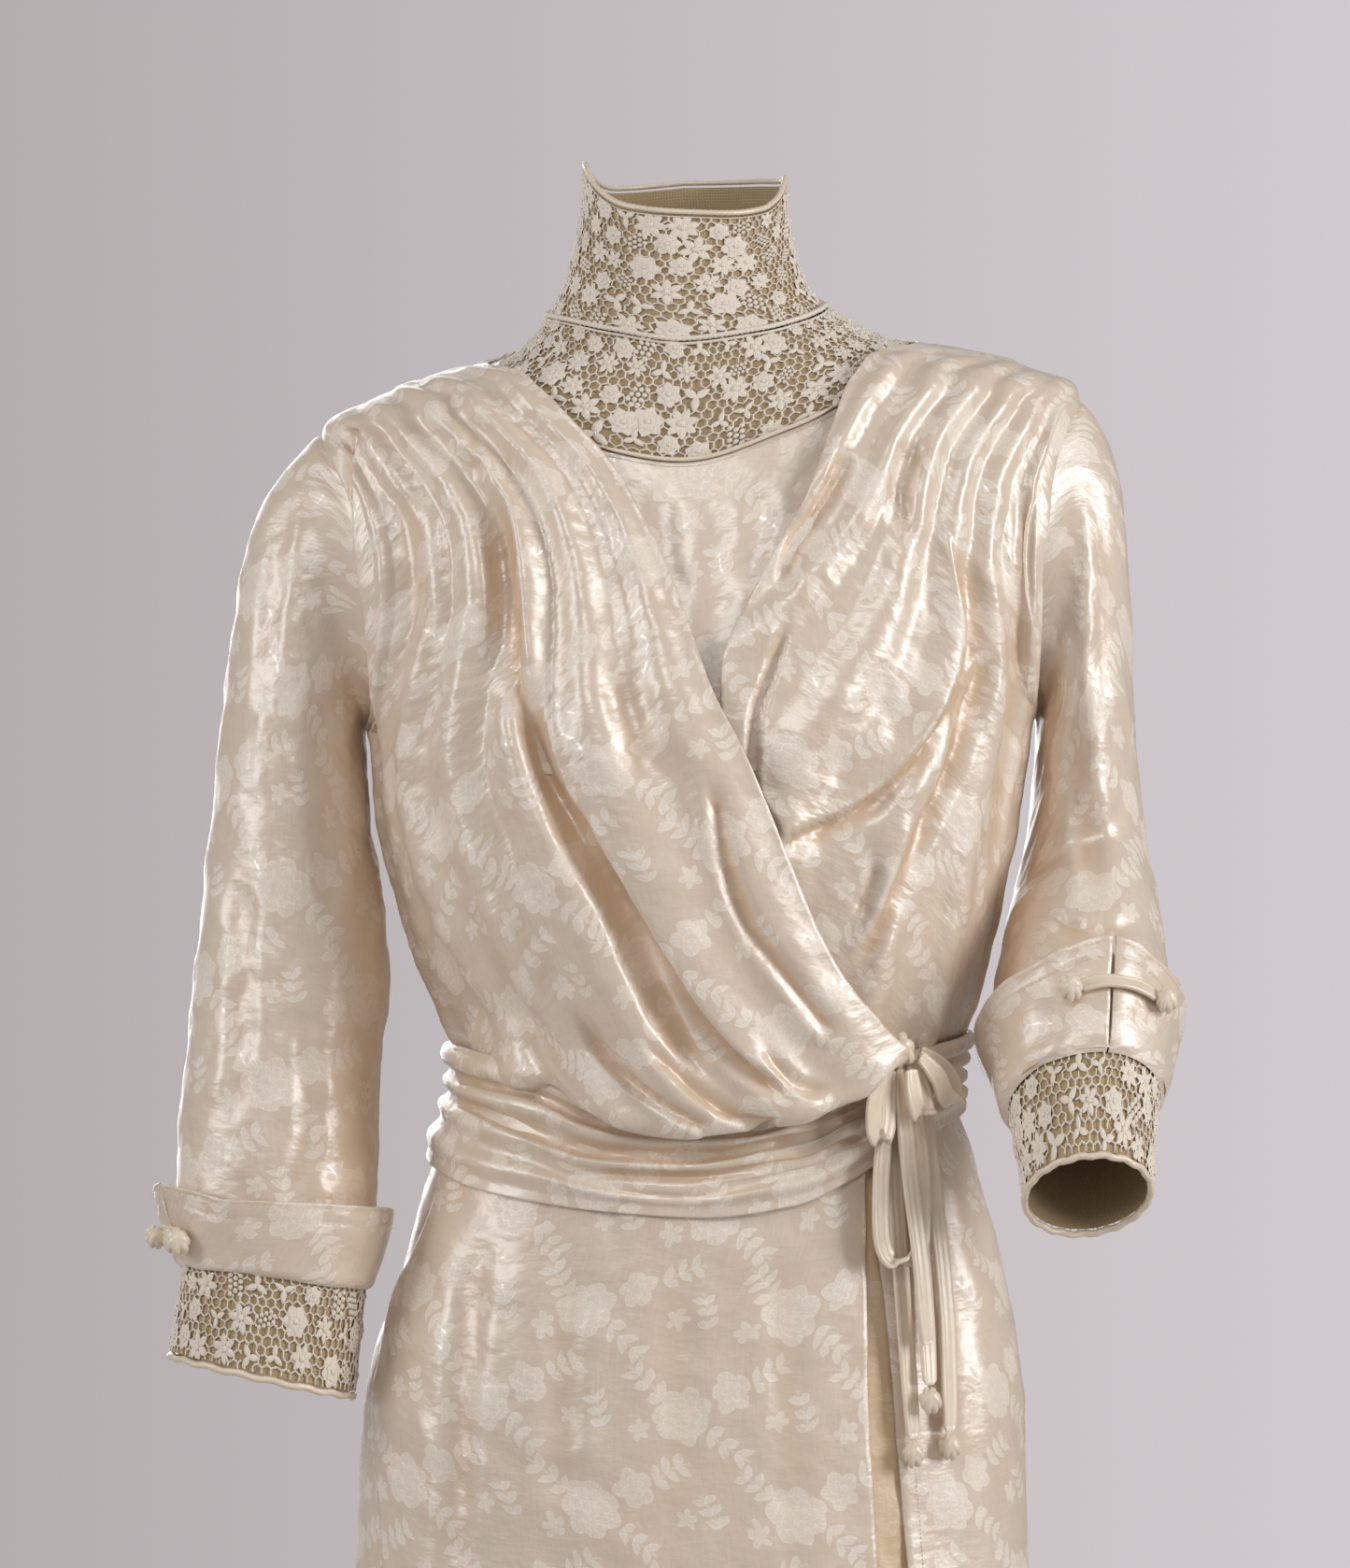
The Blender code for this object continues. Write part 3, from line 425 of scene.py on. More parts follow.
def rolled_under(place):
    """The right front as it hangs over the sash, with its lower edge rolled under and caught behind."""
    def rolled(u, v):
        down = np.minimum(v / ROLL_FROM, 1.0)
        grid, foot = place(u, down), place(u, np.ones((1, 1)))
        lower = (POUCH_EDGE.at(foot[..., 0]).z + ROLL - foot[..., 2]) * soft((0.99 - u) / 0.09)
        angle = ROLL_TURN * np.clip((v - ROLL_FROM) / (1 - ROLL_FROM), 0, 1)[..., None]
        # At the side it goes down inside the sash
        inside = (SIDE_TUCK * soft((SIDE_TUCK_X - foot[..., 0]) / SIDE_TUCK_OVER)
                  * soft((down - SIDE_TUCK_FROM) / LOWERED_OVER))
        grid = grid - unit(grid * [1, 1, 0]) * (ROLL * (1 - np.cos(angle)) + inside[..., None])
        grid[..., 2] += lower * soft((down - LOWERED_FROM) / LOWERED_OVER) - ROLL * np.sin(angle[..., 0])
        return grid
    return rolled


def tucked(place):
    """A panel whose lower edge goes on down inside the sash."""
    def tucked_in(u, v):
        grid = place(u, np.minimum(v / TUCK_FROM, 1.0))
        share = np.clip((v - TUCK_FROM) / (1 - TUCK_FROM), 0, 1)[..., None]
        return grid - unit(grid * [1, 1, 0]) * TUCK_IN * soft(share) - np.array([0, 0, TUCK_DOWN]) * share
    return tucked_in


def back_place(hand):
    def place(u, v):
        across = 1 - u if hand < 0 else u
        row = BACK.at(v)
        turn = blend_turn(180 - side_start(row.side_level, across, v), row.edge_turn, across, BODICE_FLATNESS)
        out = (BODICE_LAYER + yoke_lift(v, across) - laid_down(BACK_CORNER, v, across)
               + fold_height(BACK_FOLDS, v, across) * soft(v / 0.15) * soft((1 - v) / 0.1))
        return figure(hand * turn, blend(row.side_level, row.edge_level, across), out + SILK / 2)
    return place


# Sleeves and cuffs

ARMS = {"right": table("""
down outer_x outer_z inner_x inner_z middle_y half_depth pitch
0.00 -215 -40 -184 -196 0 47 0
0.06 -237 -66 -184 -207 0 50 0
0.13 -249 -102 -183 -222 -1 52 0
0.21 -256 -142 -182 -240 -2 53 0
0.31 -262 -195 -180 -260 -4 54 2
0.44 -269 -262 -174 -292 -8 55 4
0.56 -276 -325 -171 -334 -14 55 6
0.66 -281 -375 -176 -374 -20 54 8
0.76 -285 -420 -177 -417 -26 54 8
0.86 -286 -460 -177 -468 -32 53 8
0.93 -284 -488 -182 -502 -37 50 8
1.00 -290 -531 -187 -554 -43 48 8
"""), "left": table("""
down outer_x outer_z inner_x inner_z middle_y half_depth pitch
0.00 213 -22 184 -188 0 47 0
0.06 226 -46 185 -198 1 50 0
0.13 232 -90 184 -214 3 52 0
0.21 235 -135 183 -230 6 53 2
0.31 238 -190 181 -250 9 54 6
0.44 243 -252 174 -283 8 53 20
0.54 248 -285 169 -300 -9 53 34
0.64 252 -317 160 -327 -33 53 42
0.76 251 -346 157 -354 -62 52 43
0.86 248 -372 160 -379 -86 49 43
0.93 243 -396 164 -402 -108 43 43
1.00 238 -430 168 -434 -138 37 43
""")}
CUFF_SPAN = {"right": (0.835, 0.925), "left": (0.76, 0.905)}
SLEEVE_SHORT_OF_FOLD, UNDERCUFF_SEAM = 0.003, 0.001
SLEEVE_SEAM, SEAM_EASE = 205, 0.05
CUFF_FLARE, SLIT_FLARE, CUFF_SLIT_HALF = 7.0, 5.0, 1.2
CUFF_SLIT = {"right": 28, "left": 76}
BINDING = 1.8
ARMHOLE_RINGS = [
    # half turn, half height, out
    (23, 74, 0.3),
    (18.5, 79, 0.8),
    (15.4, 82.2, 3.2),
]


def arm_place(side, down, around, out):
    """Places round the arm: around is 0 outside, 90 in front and 180 inside."""
    row = ARMS[side].at(down)
    middle = points((row.outer_x + row.inner_x) / 2, row.middle_y, (row.outer_z + row.inner_z) / 2)
    wide = points((row.outer_x - row.inner_x) / 2, 0, (row.outer_z - row.inner_z) / 2)
    half = np.linalg.norm(wide, axis=-1)
    pitch = np.radians(row.pitch)
    fore = points(0, -np.cos(pitch) * row.half_depth, np.sin(pitch) * row.half_depth)
    angle = np.radians(around)
    return (middle + wide * ((1 + out / half) * np.cos(angle))[..., None]
            + fore * ((1 + out / row.half_depth) * np.sin(angle))[..., None])


def sleeve_end(side):
    return CUFF_SPAN[side][1] - SLEEVE_SHORT_OF_FOLD


def sleeve_place(side, hand):
    """Places on a sleeve, smooth through the rings of the armhole and those of the arm."""
    downs = sleeve_end(side) * np.linspace(0, 1, 10) ** 1.15

    def place(u, v):
        around = SLEEVE_SEAM + 360 * u[0]
        angle = np.radians(around)
        rings = [figure(hand * (90 - half_turn * np.sin(angle)),
                        ARMHOLE_MIDDLE + half_height * np.cos(angle), out + SILK / 2)
                 for half_turn, half_height, out in ARMHOLE_RINGS]
        rings += [arm_place(side, down, around, np.full(around.shape, SILK / 2)) for down in downs]
        rings = np.array([2 * rings[0] - rings[1], *rings, 2 * rings[-1] - rings[-2]])
        at = 1 + v[:, 0] * (len(rings) - 3)
        i = np.clip(at.astype(int), 1, len(rings) - 3)
        t = (at - i)[:, None, None]
        before, low, high, after = rings[i - 1], rings[i], rings[i + 1], rings[i + 2]
        return 0.5 * (2 * low + (high - before) * t + (2 * before - 5 * low + 4 * high - after) * t ** 2
                      + (3 * low - before - 3 * high + after) * t ** 3)
    return place


def cuff_place(side, lift=SILK / 2):
    start, end = CUFF_SPAN[side]

    def place(u, v):
        around = CUFF_SLIT[side] + CUFF_SLIT_HALF + (360 - 2 * CUFF_SLIT_HALF) * u
        near_slit = np.maximum(soft(1 - u / 0.12), soft((u - 0.88) / 0.12))
        out = CUFF_LAYER + (CUFF_FLARE + SLIT_FLARE * near_slit) * np.maximum(1 - v, 0) ** 1.3 + lift
        # The fold at the lower edge is round
        out = out - (CUFF_LAYER + 1.6) * (1 - np.sqrt(1 - np.clip((v - 0.88) / 0.12, 0, 1) ** 2))
        return arm_place(side, blend(start - 0.018 * near_slit, end, v), around, out)
    return place


def undercuff_place(side, u, v, out):
    return arm_place(side, blend(sleeve_end(side) + UNDERCUFF_SEAM, 1.0, v), 360 * u, out)


# Sash and skirt

SASH = table("""
turn top bottom
-180 -366 -420
-120 -366 -424
-90 -366 -430
-78 -366 -433
-60 -368 -440
-45 -373 -444
-30 -387 -447
0 -388 -450
25 -388 -444
40 -378 -431
52 -366 -418
70 -361 -408
90 -360 -404
130 -363 -410
180 -366 -420
""")
SASH_HALVES = {"front": (-92, 92), "back": (92, 268)}
SASH_FOLDS = [
    (0.12, 0.10, 0.10, 3.0, 1.0),
    (0.34, 0.32, 0.11, 4.5, 1.0),
    (0.58, 0.55, 0.11, 4.0, 1.0),
    (0.82, 0.80, 0.12, 3.5, 1.0),
]
OPENING = table("""
down front_left_x front_right_x back_x
0.00 -128 86 91
0.07 -146 86 93
0.11 -163 87 98
0.14 -171 87 101
0.18 -176 88 104
0.23 -172 91 108
0.30 -168 94 113
0.60 -186 106 130
1.00 -214 118 150
""")
UNDERLAP_REACH = 26
LAPS, LAP_FADE = [(38, 26), (-78, 20)], 24


def sash_place(half):
    def place(u, v):
        turn = blend_turn(*SASH_HALVES[half], u, SKIRT_FLATNESS)
        row = SASH.at((turn + 180) % 360 - 180)
        folds = fold_height(SASH_FOLDS, u if half == "front" else 1 - u, v)
        return figure(turn, blend(row.top, row.bottom, v), SASH_LAYER + folds + SILK / 2)
    return place


def flute(turn, level):
    depth = FLUTE_DEPTH * soft((FLUTES_START - level) / (FLUTES_START - HEM))
    for middle, half in LAPS:
        away = abs((turn - middle + 180) % 360 - 180)
        depth = depth * soft((away - half) / LAP_FADE)
    angle = np.radians(turn)
    return depth * (np.cos(FLUTES * angle + 0.6) + 0.4 * np.cos((FLUTES - 2) * angle + 2.0))


def opening_edge(column, reach=0.0, turns=0):
    """Turn of a skirt panel's edge, as a function of how far down it is."""
    def turn(v):
        rows = v[:, 0]
        found = turn_at(getattr(OPENING.at(rows), column) + reach, blend(SKIRT_TOP, HEM, rows))
        return (found + turns)[:, None]
    return turn


def skirt_place(start, end, layer):
    def place(u, v):
        level = blend(SKIRT_TOP, HEM, v)
        turn = blend_turn(start(v), end(v), u, SKIRT_FLATNESS)
        return figure(turn, level, layer + flute(turn, level) + SILK / 2)
    return place


# Making pieces

def hex_colour(text):
    """An sRGB hex colour as linear red, green, blue and one."""
    parts = [int(text[i:i + 2], 16) / 255 for i in (1, 3, 5)]
    return (*[c / 12.92 if c <= 0.04045 else ((c + 0.055) / 1.055) ** 2.4 for c in parts], 1.0)


def make_piece(name, corners, faces, finish, nodes=(), run=None, trough=None):
    """A mesh that rides on the gown and stands for CAD nodes. run is each corner's place on flat cloth."""
    mesh = bpy.data.meshes.new(name)
    if isinstance(faces, np.ndarray) and (faces[:, 2] == faces[:, 3]).any():
        # A corner given twice stands for a triangle
        faces = [face[:3] if face[2] == face[3] else face for face in faces.tolist()]
    mesh.from_pydata(np.asarray(corners) * MM, [], faces)
    mesh.update()
    if run is not None:
        loops = np.empty(len(mesh.loops), np.int32)
        mesh.loops.foreach_get("vertex_index", loops)
        layer = mesh.uv_layers.new(name="run")
        layer.uv.foreach_set("vector", (run[loops] * MM).astype(np.float32).ravel())
    # The painted warm shade of deep folds, kept on the mesh for the damask to read
    if trough is not None:
        depth = mesh.attributes.new("trough", "FLOAT", "POINT").data
        depth.foreach_set("value", trough.astype(np.float32).ravel())
    mesh.shade_smooth()
    mesh.materials.append(finish)
    item = bpy.data.objects.new(name, mesh)
    bpy.context.scene.collection.objects.link(item)
    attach(item, "root")
    if nodes:
        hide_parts(*nodes)
    return item


def grid_faces(rows, columns, flip=False):
    i = np.arange(rows * columns).reshape(rows, columns)
    faces = np.stack([i[:-1, :-1], i[1:, :-1], i[1:, 1:], i[:-1, 1:]], axis=-1).reshape(-1, 4)
    return faces[:, ::-1] if flip else faces


def tube_faces(rows, sides, closed=False):
    i = np.pad(np.arange(rows * sides).reshape(rows, sides), ((0, int(closed)), (0, 1)), "wrap")
    return np.stack([i[:-1, :-1], i[:-1, 1:], i[1:, 1:], i[1:, :-1]], axis=-1).reshape(-1, 4)


def outward(grid, flip=False):
    out = unit(np.cross(np.gradient(grid, axis=0), np.gradient(grid, axis=1)))
    return -out if flip else out


def turn_edge(sheet, side, thick):
    """Turns a narrow hem to the inside along one edge of a sheet of points, directions and values."""
    axis, last = {"top": (0, False), "bottom": (0, True), "start": (1, False), "end": (1, True)}[side]
    work = np.moveaxis(sheet, axis, 0)
    work = work[::-1] if last else work
    edge, inner = work[0], work[3]
    past = unit(edge[:, :3] - work[1, :, :3])
    fold, back, under = edge.copy(), edge.copy(), inner.copy()
    fold[:, :3] += (past - edge[:, 3:6]) * thick / 2
    back[:, :3] -= edge[:, 3:6] * thick
    under[:, :3] -= inner[:, 3:6] * thick
    work = np.concatenate([[under, back, fold], work])
    work = work[::-1] if last else work
    return np.moveaxis(work, 0, axis)


HEM_THICK = 0.9


def make_cloth(name, nodes, place, columns, rows, finish, turned=(), flip=False,
               shape=None, upright=0.5, measured_up=False):
    """A shell of cloth on its solid's form. turned names the edges with a hem, and shape gives the height of
    its creases and how much painted warm shade each point gets for lying deep in a fold."""
    u, v = np.linspace(0, 1, columns)[None, :], np.linspace(0, 1, rows)[:, None]
    grid = place(u, v)
    across = np.cumsum(np.linalg.norm(np.diff(grid, axis=1, prepend=grid[:, :1]), axis=-1), axis=1)
    down = np.cumsum(np.linalg.norm(np.diff(grid, axis=0, prepend=grid[:1]), axis=-1), axis=0)
    across = across - across[:, round(upright * (columns - 1)), None]
    down = down - down[-1:] if measured_up else down
    out = outward(grid, flip)
    trough = np.zeros(grid.shape[:2])
    if shape:
        height, trough = shape(grid, u, v, across, down)
        grid = grid + out * np.broadcast_to(height, trough.shape)[..., None]
        out = outward(grid, flip)
    sheet = np.concatenate([grid, out, across[..., None], -down[..., None], trough[..., None]], axis=-1)
    for side in turned:
        sheet = turn_edge(sheet, side, HEM_THICK)
    rows, columns = sheet.shape[:2]
    flat = sheet.reshape(-1, sheet.shape[-1])
    faces = grid_faces(rows, columns, flip)
    item = make_piece(name, flat[:, :3], faces, finish, nodes, flat[:, 6:8], flat[:, 8])


# Creases, laid in the front view

def beside(grid, places, count=28):
    """How far each point lies from a line in the front view, positive at the wearer's left of a line that
    runs down, and what share of the line is passed there."""
    line = line_through(places, count)
    x, z = grid[..., 0], grid[..., 2]
    nearest, side, share = np.full(x.shape, 1e9), np.zeros(x.shape), np.zeros(x.shape)
    for i, (start, end) in enumerate(zip(line, line[1:])):
        ahead = end - start
        t = np.clip(((x - start[0]) * ahead[0] + (z - start[1]) * ahead[1]) / (ahead @ ahead), 0, 1)
        dx, dz = x - start[0] - t * ahead[0], z - start[1] - t * ahead[1]
        away = np.hypot(dx, dz)
        closer = away < nearest
        nearest = np.where(closer, away, nearest)
        side = np.where(closer, np.where(ahead[0] * dz - ahead[1] * dx > 0, away, -away), side)
        share = np.where(closer, (i + t) / (count - 1), share)
    return side, share


def lay_creases(grid, creases):
    """Height of the cloth at its creases, and how much painted warm shade each point gets where it lies deep
    in a fold.
    """
    height, trough = np.zeros(grid.shape[:2]), np.zeros(grid.shape[:2])
    for line in creases.strip().splitlines():
        places, sizes = line.split("|")
        deep, right, left, crest_right, crest_left, fade_in, fade_out = map(float, sizes.split())
        side, share = beside(grid, [place.split(",") for place in places.split()])
        fade = soft(share / max(fade_in, 0.01)) * soft((1 - share) / max(fade_out, 0.01))
        away = abs(side) / np.where(side > 0, left, right)
        # A fold has a narrow floor and steep walls, and the cloth beside it stands highest at once
        hollow = np.exp(-away ** 2.6)
        crest = (np.where(side > 0, crest_left, crest_right) * soft((away - 0.7) / 1.1)
                 * np.exp(-np.maximum(away - 1.8, 0) / 2.6))
        height += fade * (crest - deep * hollow)
        # A point deep in a fold gets painted warm shade, more in a deeper fold
        trough = np.maximum(trough, fade * hollow * min(1.0, deep / 5))
    return height, trough


def crumple(across, down, size, high, seed):
    """The gentle unevenness of soft silk, in waves of about the given size."""
    draw = np.random.default_rng(seed)
    height = np.zeros(np.broadcast(across, down).shape)
    for _ in range(14):
        heading, start = draw.uniform(0, np.pi), draw.uniform(0, 2 * np.pi)
        wave = 2 * np.pi / (size * draw.uniform(0.6, 1.8))
        height += np.sin(wave * (across * np.cos(heading) + down * np.sin(heading)) + start)
    return high * height / 14 ** 0.5


# Finishes

def add_node(tree, kind, *inputs, out=0, sockets=(), **settings):
    """Adds a shader node with its operation, settings and links, and gives its output.

    A setting with a capital letter is a socket, and the others are the node's own."""
    kind, *operation = kind.split()
    made = tree.nodes.new("ShaderNode" + kind)
    if operation:
        made.operation = operation[0]
    links = [*enumerate(inputs), *dict(sockets).items()]
    for key, value in settings.items():
        if key[0].isupper():
            links.append((key.replace("_", " "), value))
        else:
            setattr(made, key, value)
    for key, value in links:
        if isinstance(value, bpy.types.NodeSocket):
            tree.links.new(value, made.inputs[key])
        elif value is not None:
            made.inputs[key].default_value = hex_colour(value) if isinstance(value, str) else value
    return made.outputs[out] if made.outputs else made


def new_finish(name):
    """A new material, and the function that adds its nodes."""
    finish = bpy.data.materials.new(name)
    finish.use_nodes = True
    finish.node_tree.nodes.clear()
    return finish, partial(add_node, finish.node_tree)


MIX = {"data_type": "RGBA", "out": 2}

# Silk damask. Its figures are woven matt on a glossy satin ground, with a painted highlight on their outlines
# in place of
# the little relief they have: sprays of roses and leaves in a half-drop repeat.
REPEAT, DROP = 110, 53
TIER_TURN, PETAL_CUT = 2.4, 0.55
LEAF_HALF_WIDTH, LEAF_PITCH, LEAF_SLANT, LEAF_STALK = 0.23, 0.74, math.radians(48), 0.16


def in_repeat(add, cells, middle, turned):
    """Place in millimetres from a motif's middle, given as shares of the repeat, turned by an angle."""
    shifted = add("VectorMath ADD", cells, (0.5 - middle[0], 0.5 - middle[1], 0.0))
    here = add("VectorMath SUBTRACT", add("VectorMath FRACTION", shifted), (0.5, 0.5, 0.0))
    cos, sin = math.cos(turned), math.sin(turned)
    return [add("VectorMath DOT_PRODUCT", here, (REPEAT * a, REPEAT / 2 * a + DROP * b, 0), out="Value")
            for a, b in ((cos, sin), (-sin, cos))]


def rose(add, cells, middle, radius, petals, turned, tiers):
    """A rose or small flower: what it covers, and its outlines and the stitches in its petals, the lines that
    get a painted highlight.
    """
    x, y = in_repeat(add, cells, middle, turned)
    reach = add("VectorMath LENGTH", add("CombineXYZ", x, y), out="Value")
    fine = tiers / radius
    rounds = add("Math MULTIPLY", reach, fine)
    # Each tier of petals is turned against the next
    way = add("Math MULTIPLY_ADD", add("Math FLOOR", rounds), TIER_TURN, add("Math ARCTAN2", y, x))
    petal = add("Math ABSOLUTE", add("Math SINE", add("Math MULTIPLY", way, petals / 2)))
    at = add("Math MULTIPLY_ADD", petal, -PETAL_CUT, add("Math ADD", rounds, PETAL_CUT))
    covers = add("MapRange", at, tiers - 0.3 * fine, tiers, 1.0, 0.0)
    outline = add("MapRange", add("Math PINGPONG", at, 0.5), 0.3 * fine, 0.8 * fine, 1.0, 0.0)
    strokes = add("Math SINE", add("Math MULTIPLY", way, round(2.4 * radius)))
    outer = add("MapRange", add("Math FRACT", at), 0.35, 0.6, 0.0, 0.75)
    strokes = add("Math MULTIPLY", add("MapRange", strokes, 0.2, 0.8, 0.0, 1.0), outer)
    return covers, add("Math MULTIPLY", covers, add("Math MAXIMUM", outline, strokes))


def leaf_spray(add, cells, middle, turned, pairs, leaf, bend):
    """Leaves in pairs on a curved stem: what they cover, and their outlines and slanting ribs, the lines that
    get a painted highlight.
    """
    half_width, pitch = LEAF_HALF_WIDTH * leaf, LEAF_PITCH * leaf
    cos, sin = math.cos(LEAF_SLANT), math.sin(LEAF_SLANT)
    x, y = in_repeat(add, cells, middle, turned)
    away = add("Math ABSOLUTE", add("Math MULTIPLY_ADD", add("Math MULTIPLY", x, x), -bend, y))
    along = add("Math FLOORED_MODULO", add("Math ADD", x, pitch * (pairs / 2 + 0.25)), pitch)
    here = add("CombineXYZ", along, away)
    lengthways = add("VectorMath DOT_PRODUCT", here, (cos, sin, 0), out="Value")
    sideways = add("VectorMath DOT_PRODUCT", here, (-sin, cos, 0), out="Value")
    sideways = add("Math ABSOLUTE", add("Math ADD", sideways, LEAF_STALK * leaf))
    out = add("Math MULTIPLY_ADD", lengthways, 2 / leaf, -1.15)
    full = add("Math MULTIPLY_ADD", add("Math MULTIPLY", out, out), -half_width, half_width)
    room = add("Math SUBTRACT", full, sideways)
    end = pitch * pairs / 2
    window = add("MapRange", add("Math ABSOLUTE", x), end, end + 0.3, 1.0, 0.0)
    covers = add("Math MULTIPLY", add("MapRange", room, -0.1, 0.25, 0.0, 1.0), window)
    ribs = add("Math SINE", add("Math MULTIPLY", add("Math SUBTRACT", lengthways, sideways), 3.6))
    ribs = add("MapRange", ribs, 0.0, 0.9, 0.0, 0.6)
    lines = add("Math MAXIMUM", add("MapRange", room, 0.5, 1.0, 1.0, 0.0), ribs)
    stem = add("Math MULTIPLY", add("MapRange", away, 0.35, 0.75, 1.0, 0.0), window)
    return covers, add("Math MAXIMUM", add("Math MULTIPLY", covers, lines), stem)


def damask_figures(add, run):
    """What the woven figures cover, and their lines, which get a painted highlight."""
    wander = add("TexNoise", run, Scale=0.05, Detail=2.0, out="Color")
    run = add("VectorMath MULTIPLY_ADD", wander, (9, 9, 0), run)
    cells = add("CombineXYZ", *[add("VectorMath DOT_PRODUCT", run, way, out="Value")
                                for way in ((1 / REPEAT, -0.5 / DROP, 0), (0, 1 / DROP, 0))])

    def at(x, y):
        return (x - y * REPEAT / 2 / DROP) / REPEAT, y / DROP
    motifs = [rose(add, cells, at(*row[:2]), *row[2:]) for row in (
        (0, 0, 16.0, 7, 0.3, 3), (25, 12, 11.0, 5, 1.2, 2), (-22, -10, 7.0, 5, 0.0, 1),
        (51, -3, 6.5, 5, 0.6, 1))]
    motifs += [leaf_spray(add, cells, at(*row[:2]), *row[2:]) for row in (
        (-20, 17, 2.4, 3, 10.5, 0.012), (46, 23, 0.5, 3, 10.0, -0.014), (24, -17, -0.7, 3, 10.5, 0.010),
        (-45, 2, 1.9, 3, 9.0, 0.014))]
    return [reduce(lambda one, other: add("Math MAXIMUM", one, other), parts) for parts in zip(*motifs)]


def silk_damask(name, ground, matt, thread, hollow, shine=0.34):
    """Silk satin damask: a glossy ivory ground, matt figures whose bright outlines are a painted highlight,
    and a painted warm shade in deep folds, standing in for the light the cloth throws on itself."""
    finish, add = new_finish(name)
    run = add("VectorMath MULTIPLY", add("UVMap", uv_map="run"), (1000, 1000, 0))
    covers, highlit_lines = damask_figures(add, run)
    # The painted warm shade that the pieces carry, in deep folds and on the sleeves' inner sides
    depth = add("Attribute", attribute_name="trough", out="Fac")
    patches = add("TexNoise", add("NewGeometry", out="Position"), Scale=26.0, Detail=2.0)
    # The satin's long floats lie down the cloth, and show as faint streaks
    streaks = add("TexNoise", add("VectorMath MULTIPLY", run, (0.7, 0.07, 0)), Scale=1.0, Detail=1.0)
    colour = add("Mix", covers, sockets={6: ground, 7: matt}, **MIX)
    # The figures' lines are mixed toward the bright thread colour: a painted highlight where the threads of
    # the outlines would catch the light
    colour = add("Mix", add("Math MULTIPLY", highlit_lines, 0.55), sockets={6: colour, 7: thread}, **MIX)
    # The warm tone is partly random patches and streaks and partly painted warm shade in deep folds, all
    # mixed toward the hollow colour
    random_tone_and_painted_shade = add("Math ADD", add("MapRange", patches, 0.3, 0.75, 0.0, 0.10),
                 add("MapRange", streaks, 0.35, 0.7, 0.0, 0.12))
    random_tone_and_painted_shade = add("Math MAXIMUM", random_tone_and_painted_shade, add("Math MULTIPLY", depth, 0.6))
    colour = add("Mix", random_tone_and_painted_shade, sockets={6: colour, 7: hollow}, **MIX)
    roughness = add("MapRange", covers, 0.0, 1.0, shine, shine + 0.22)
    roughness = add("Math MULTIPLY_ADD", highlit_lines, -0.16, roughness)
    # Threads of 0.1 mm are too fine to show, so the bump holds the small cross-rumples of worn silk
    rumple = add("TexNoise", add("VectorMath MULTIPLY", run, (0.08, 0.15, 0)), Scale=1.0, Detail=2.0,
                 Roughness=0.5)
    bump = add("Bump", Strength=0.9, Distance=0.0008, Height=rumple, out="Normal")
    add("OutputMaterial", add("BsdfPrincipled", Base_Color=colour, Roughness=roughness, Normal=bump, IOR=2.0,
                              Coat_Weight=0.18, Coat_Roughness=0.28, Sheen_Weight=0.15, Sheen_Roughness=0.4))
    return finish


def silk_satin(name, light, shade, shine=0.30):
    """Plain silk satin ribbon: smooth, with a soft streaky gloss along its length, painted as colour that
    wanders between its light and its shade tone.
    """
    finish, add = new_finish(name)
    where = add("NewGeometry", out="Position")
    streaks = add("TexNoise", where, Scale=90.0, Detail=3.0)
    rib = add("TexNoise", where, Scale=420.0, Detail=2.0)
    # Painted sheen: the colour wanders between the light and the shade tone
    colour = add("Mix", streaks, sockets={6: shade, 7: light}, **MIX)
    add("OutputMaterial", add("BsdfPrincipled", Base_Color=colour,
                              Roughness=add("MapRange", rib, 0.2, 0.8, shine, shine + 0.15),
                              Normal=add("Bump", Strength=0.25, Distance=0.0002, Height=rib, out="Normal"),
                              IOR=1.75, Sheen_Weight=0.15, Sheen_Roughness=0.4))
    return finish


def crochet_cotton(name, light, shade):
    """Mercerised crochet cotton: matt off-white thread, its 0.5 mm twist drawn as a fine bump."""
    finish, add = new_finish(name)
    where = add("NewGeometry", out="Position")
    fuzz = add("TexNoise", where, Scale=900.0, Detail=2.0)
    twist = add("TexWave", where, Scale=320.0, Distortion=3.0, Detail=1.0)
    colour = add("Mix", fuzz, sockets={6: shade, 7: light}, **MIX)
    add("OutputMaterial", add("BsdfPrincipled", Base_Color=colour,
                              Normal=add("Bump", Strength=0.6, Distance=0.00015, Height=twist, out="Normal"),
                              Roughness=0.72, IOR=1.5, Sheen_Weight=0.3, Sheen_Roughness=0.5))
    return finish


def cotton_net(name, threads, hole_shade):
    """Fine cotton net: a hexagonal mesh of 1.6 mm, drawn on the lining that carries the lace."""
    finish, add = new_finish(name)
    run = add("VectorMath MULTIPLY", add("UVMap", uv_map="run"), (625, 625, 0))
    cell = add("TexVoronoi", run, Scale=1.0, Randomness=0.25, feature="DISTANCE_TO_EDGE", out="Distance")
    thread = add("MapRange", cell, 0.05, 0.16, 1.0, 0.0)
    # The holes between the threads are a darker brown: painted shade for what lies behind the net
    colour = add("Mix", thread, sockets={6: hole_shade, 7: threads}, **MIX)
    add("OutputMaterial", add("BsdfPrincipled", Base_Color=colour,
                              Normal=add("Bump", Strength=0.8, Distance=0.0003, Height=thread, out="Normal"),
                              Roughness=0.85, IOR=1.45))
    return finish


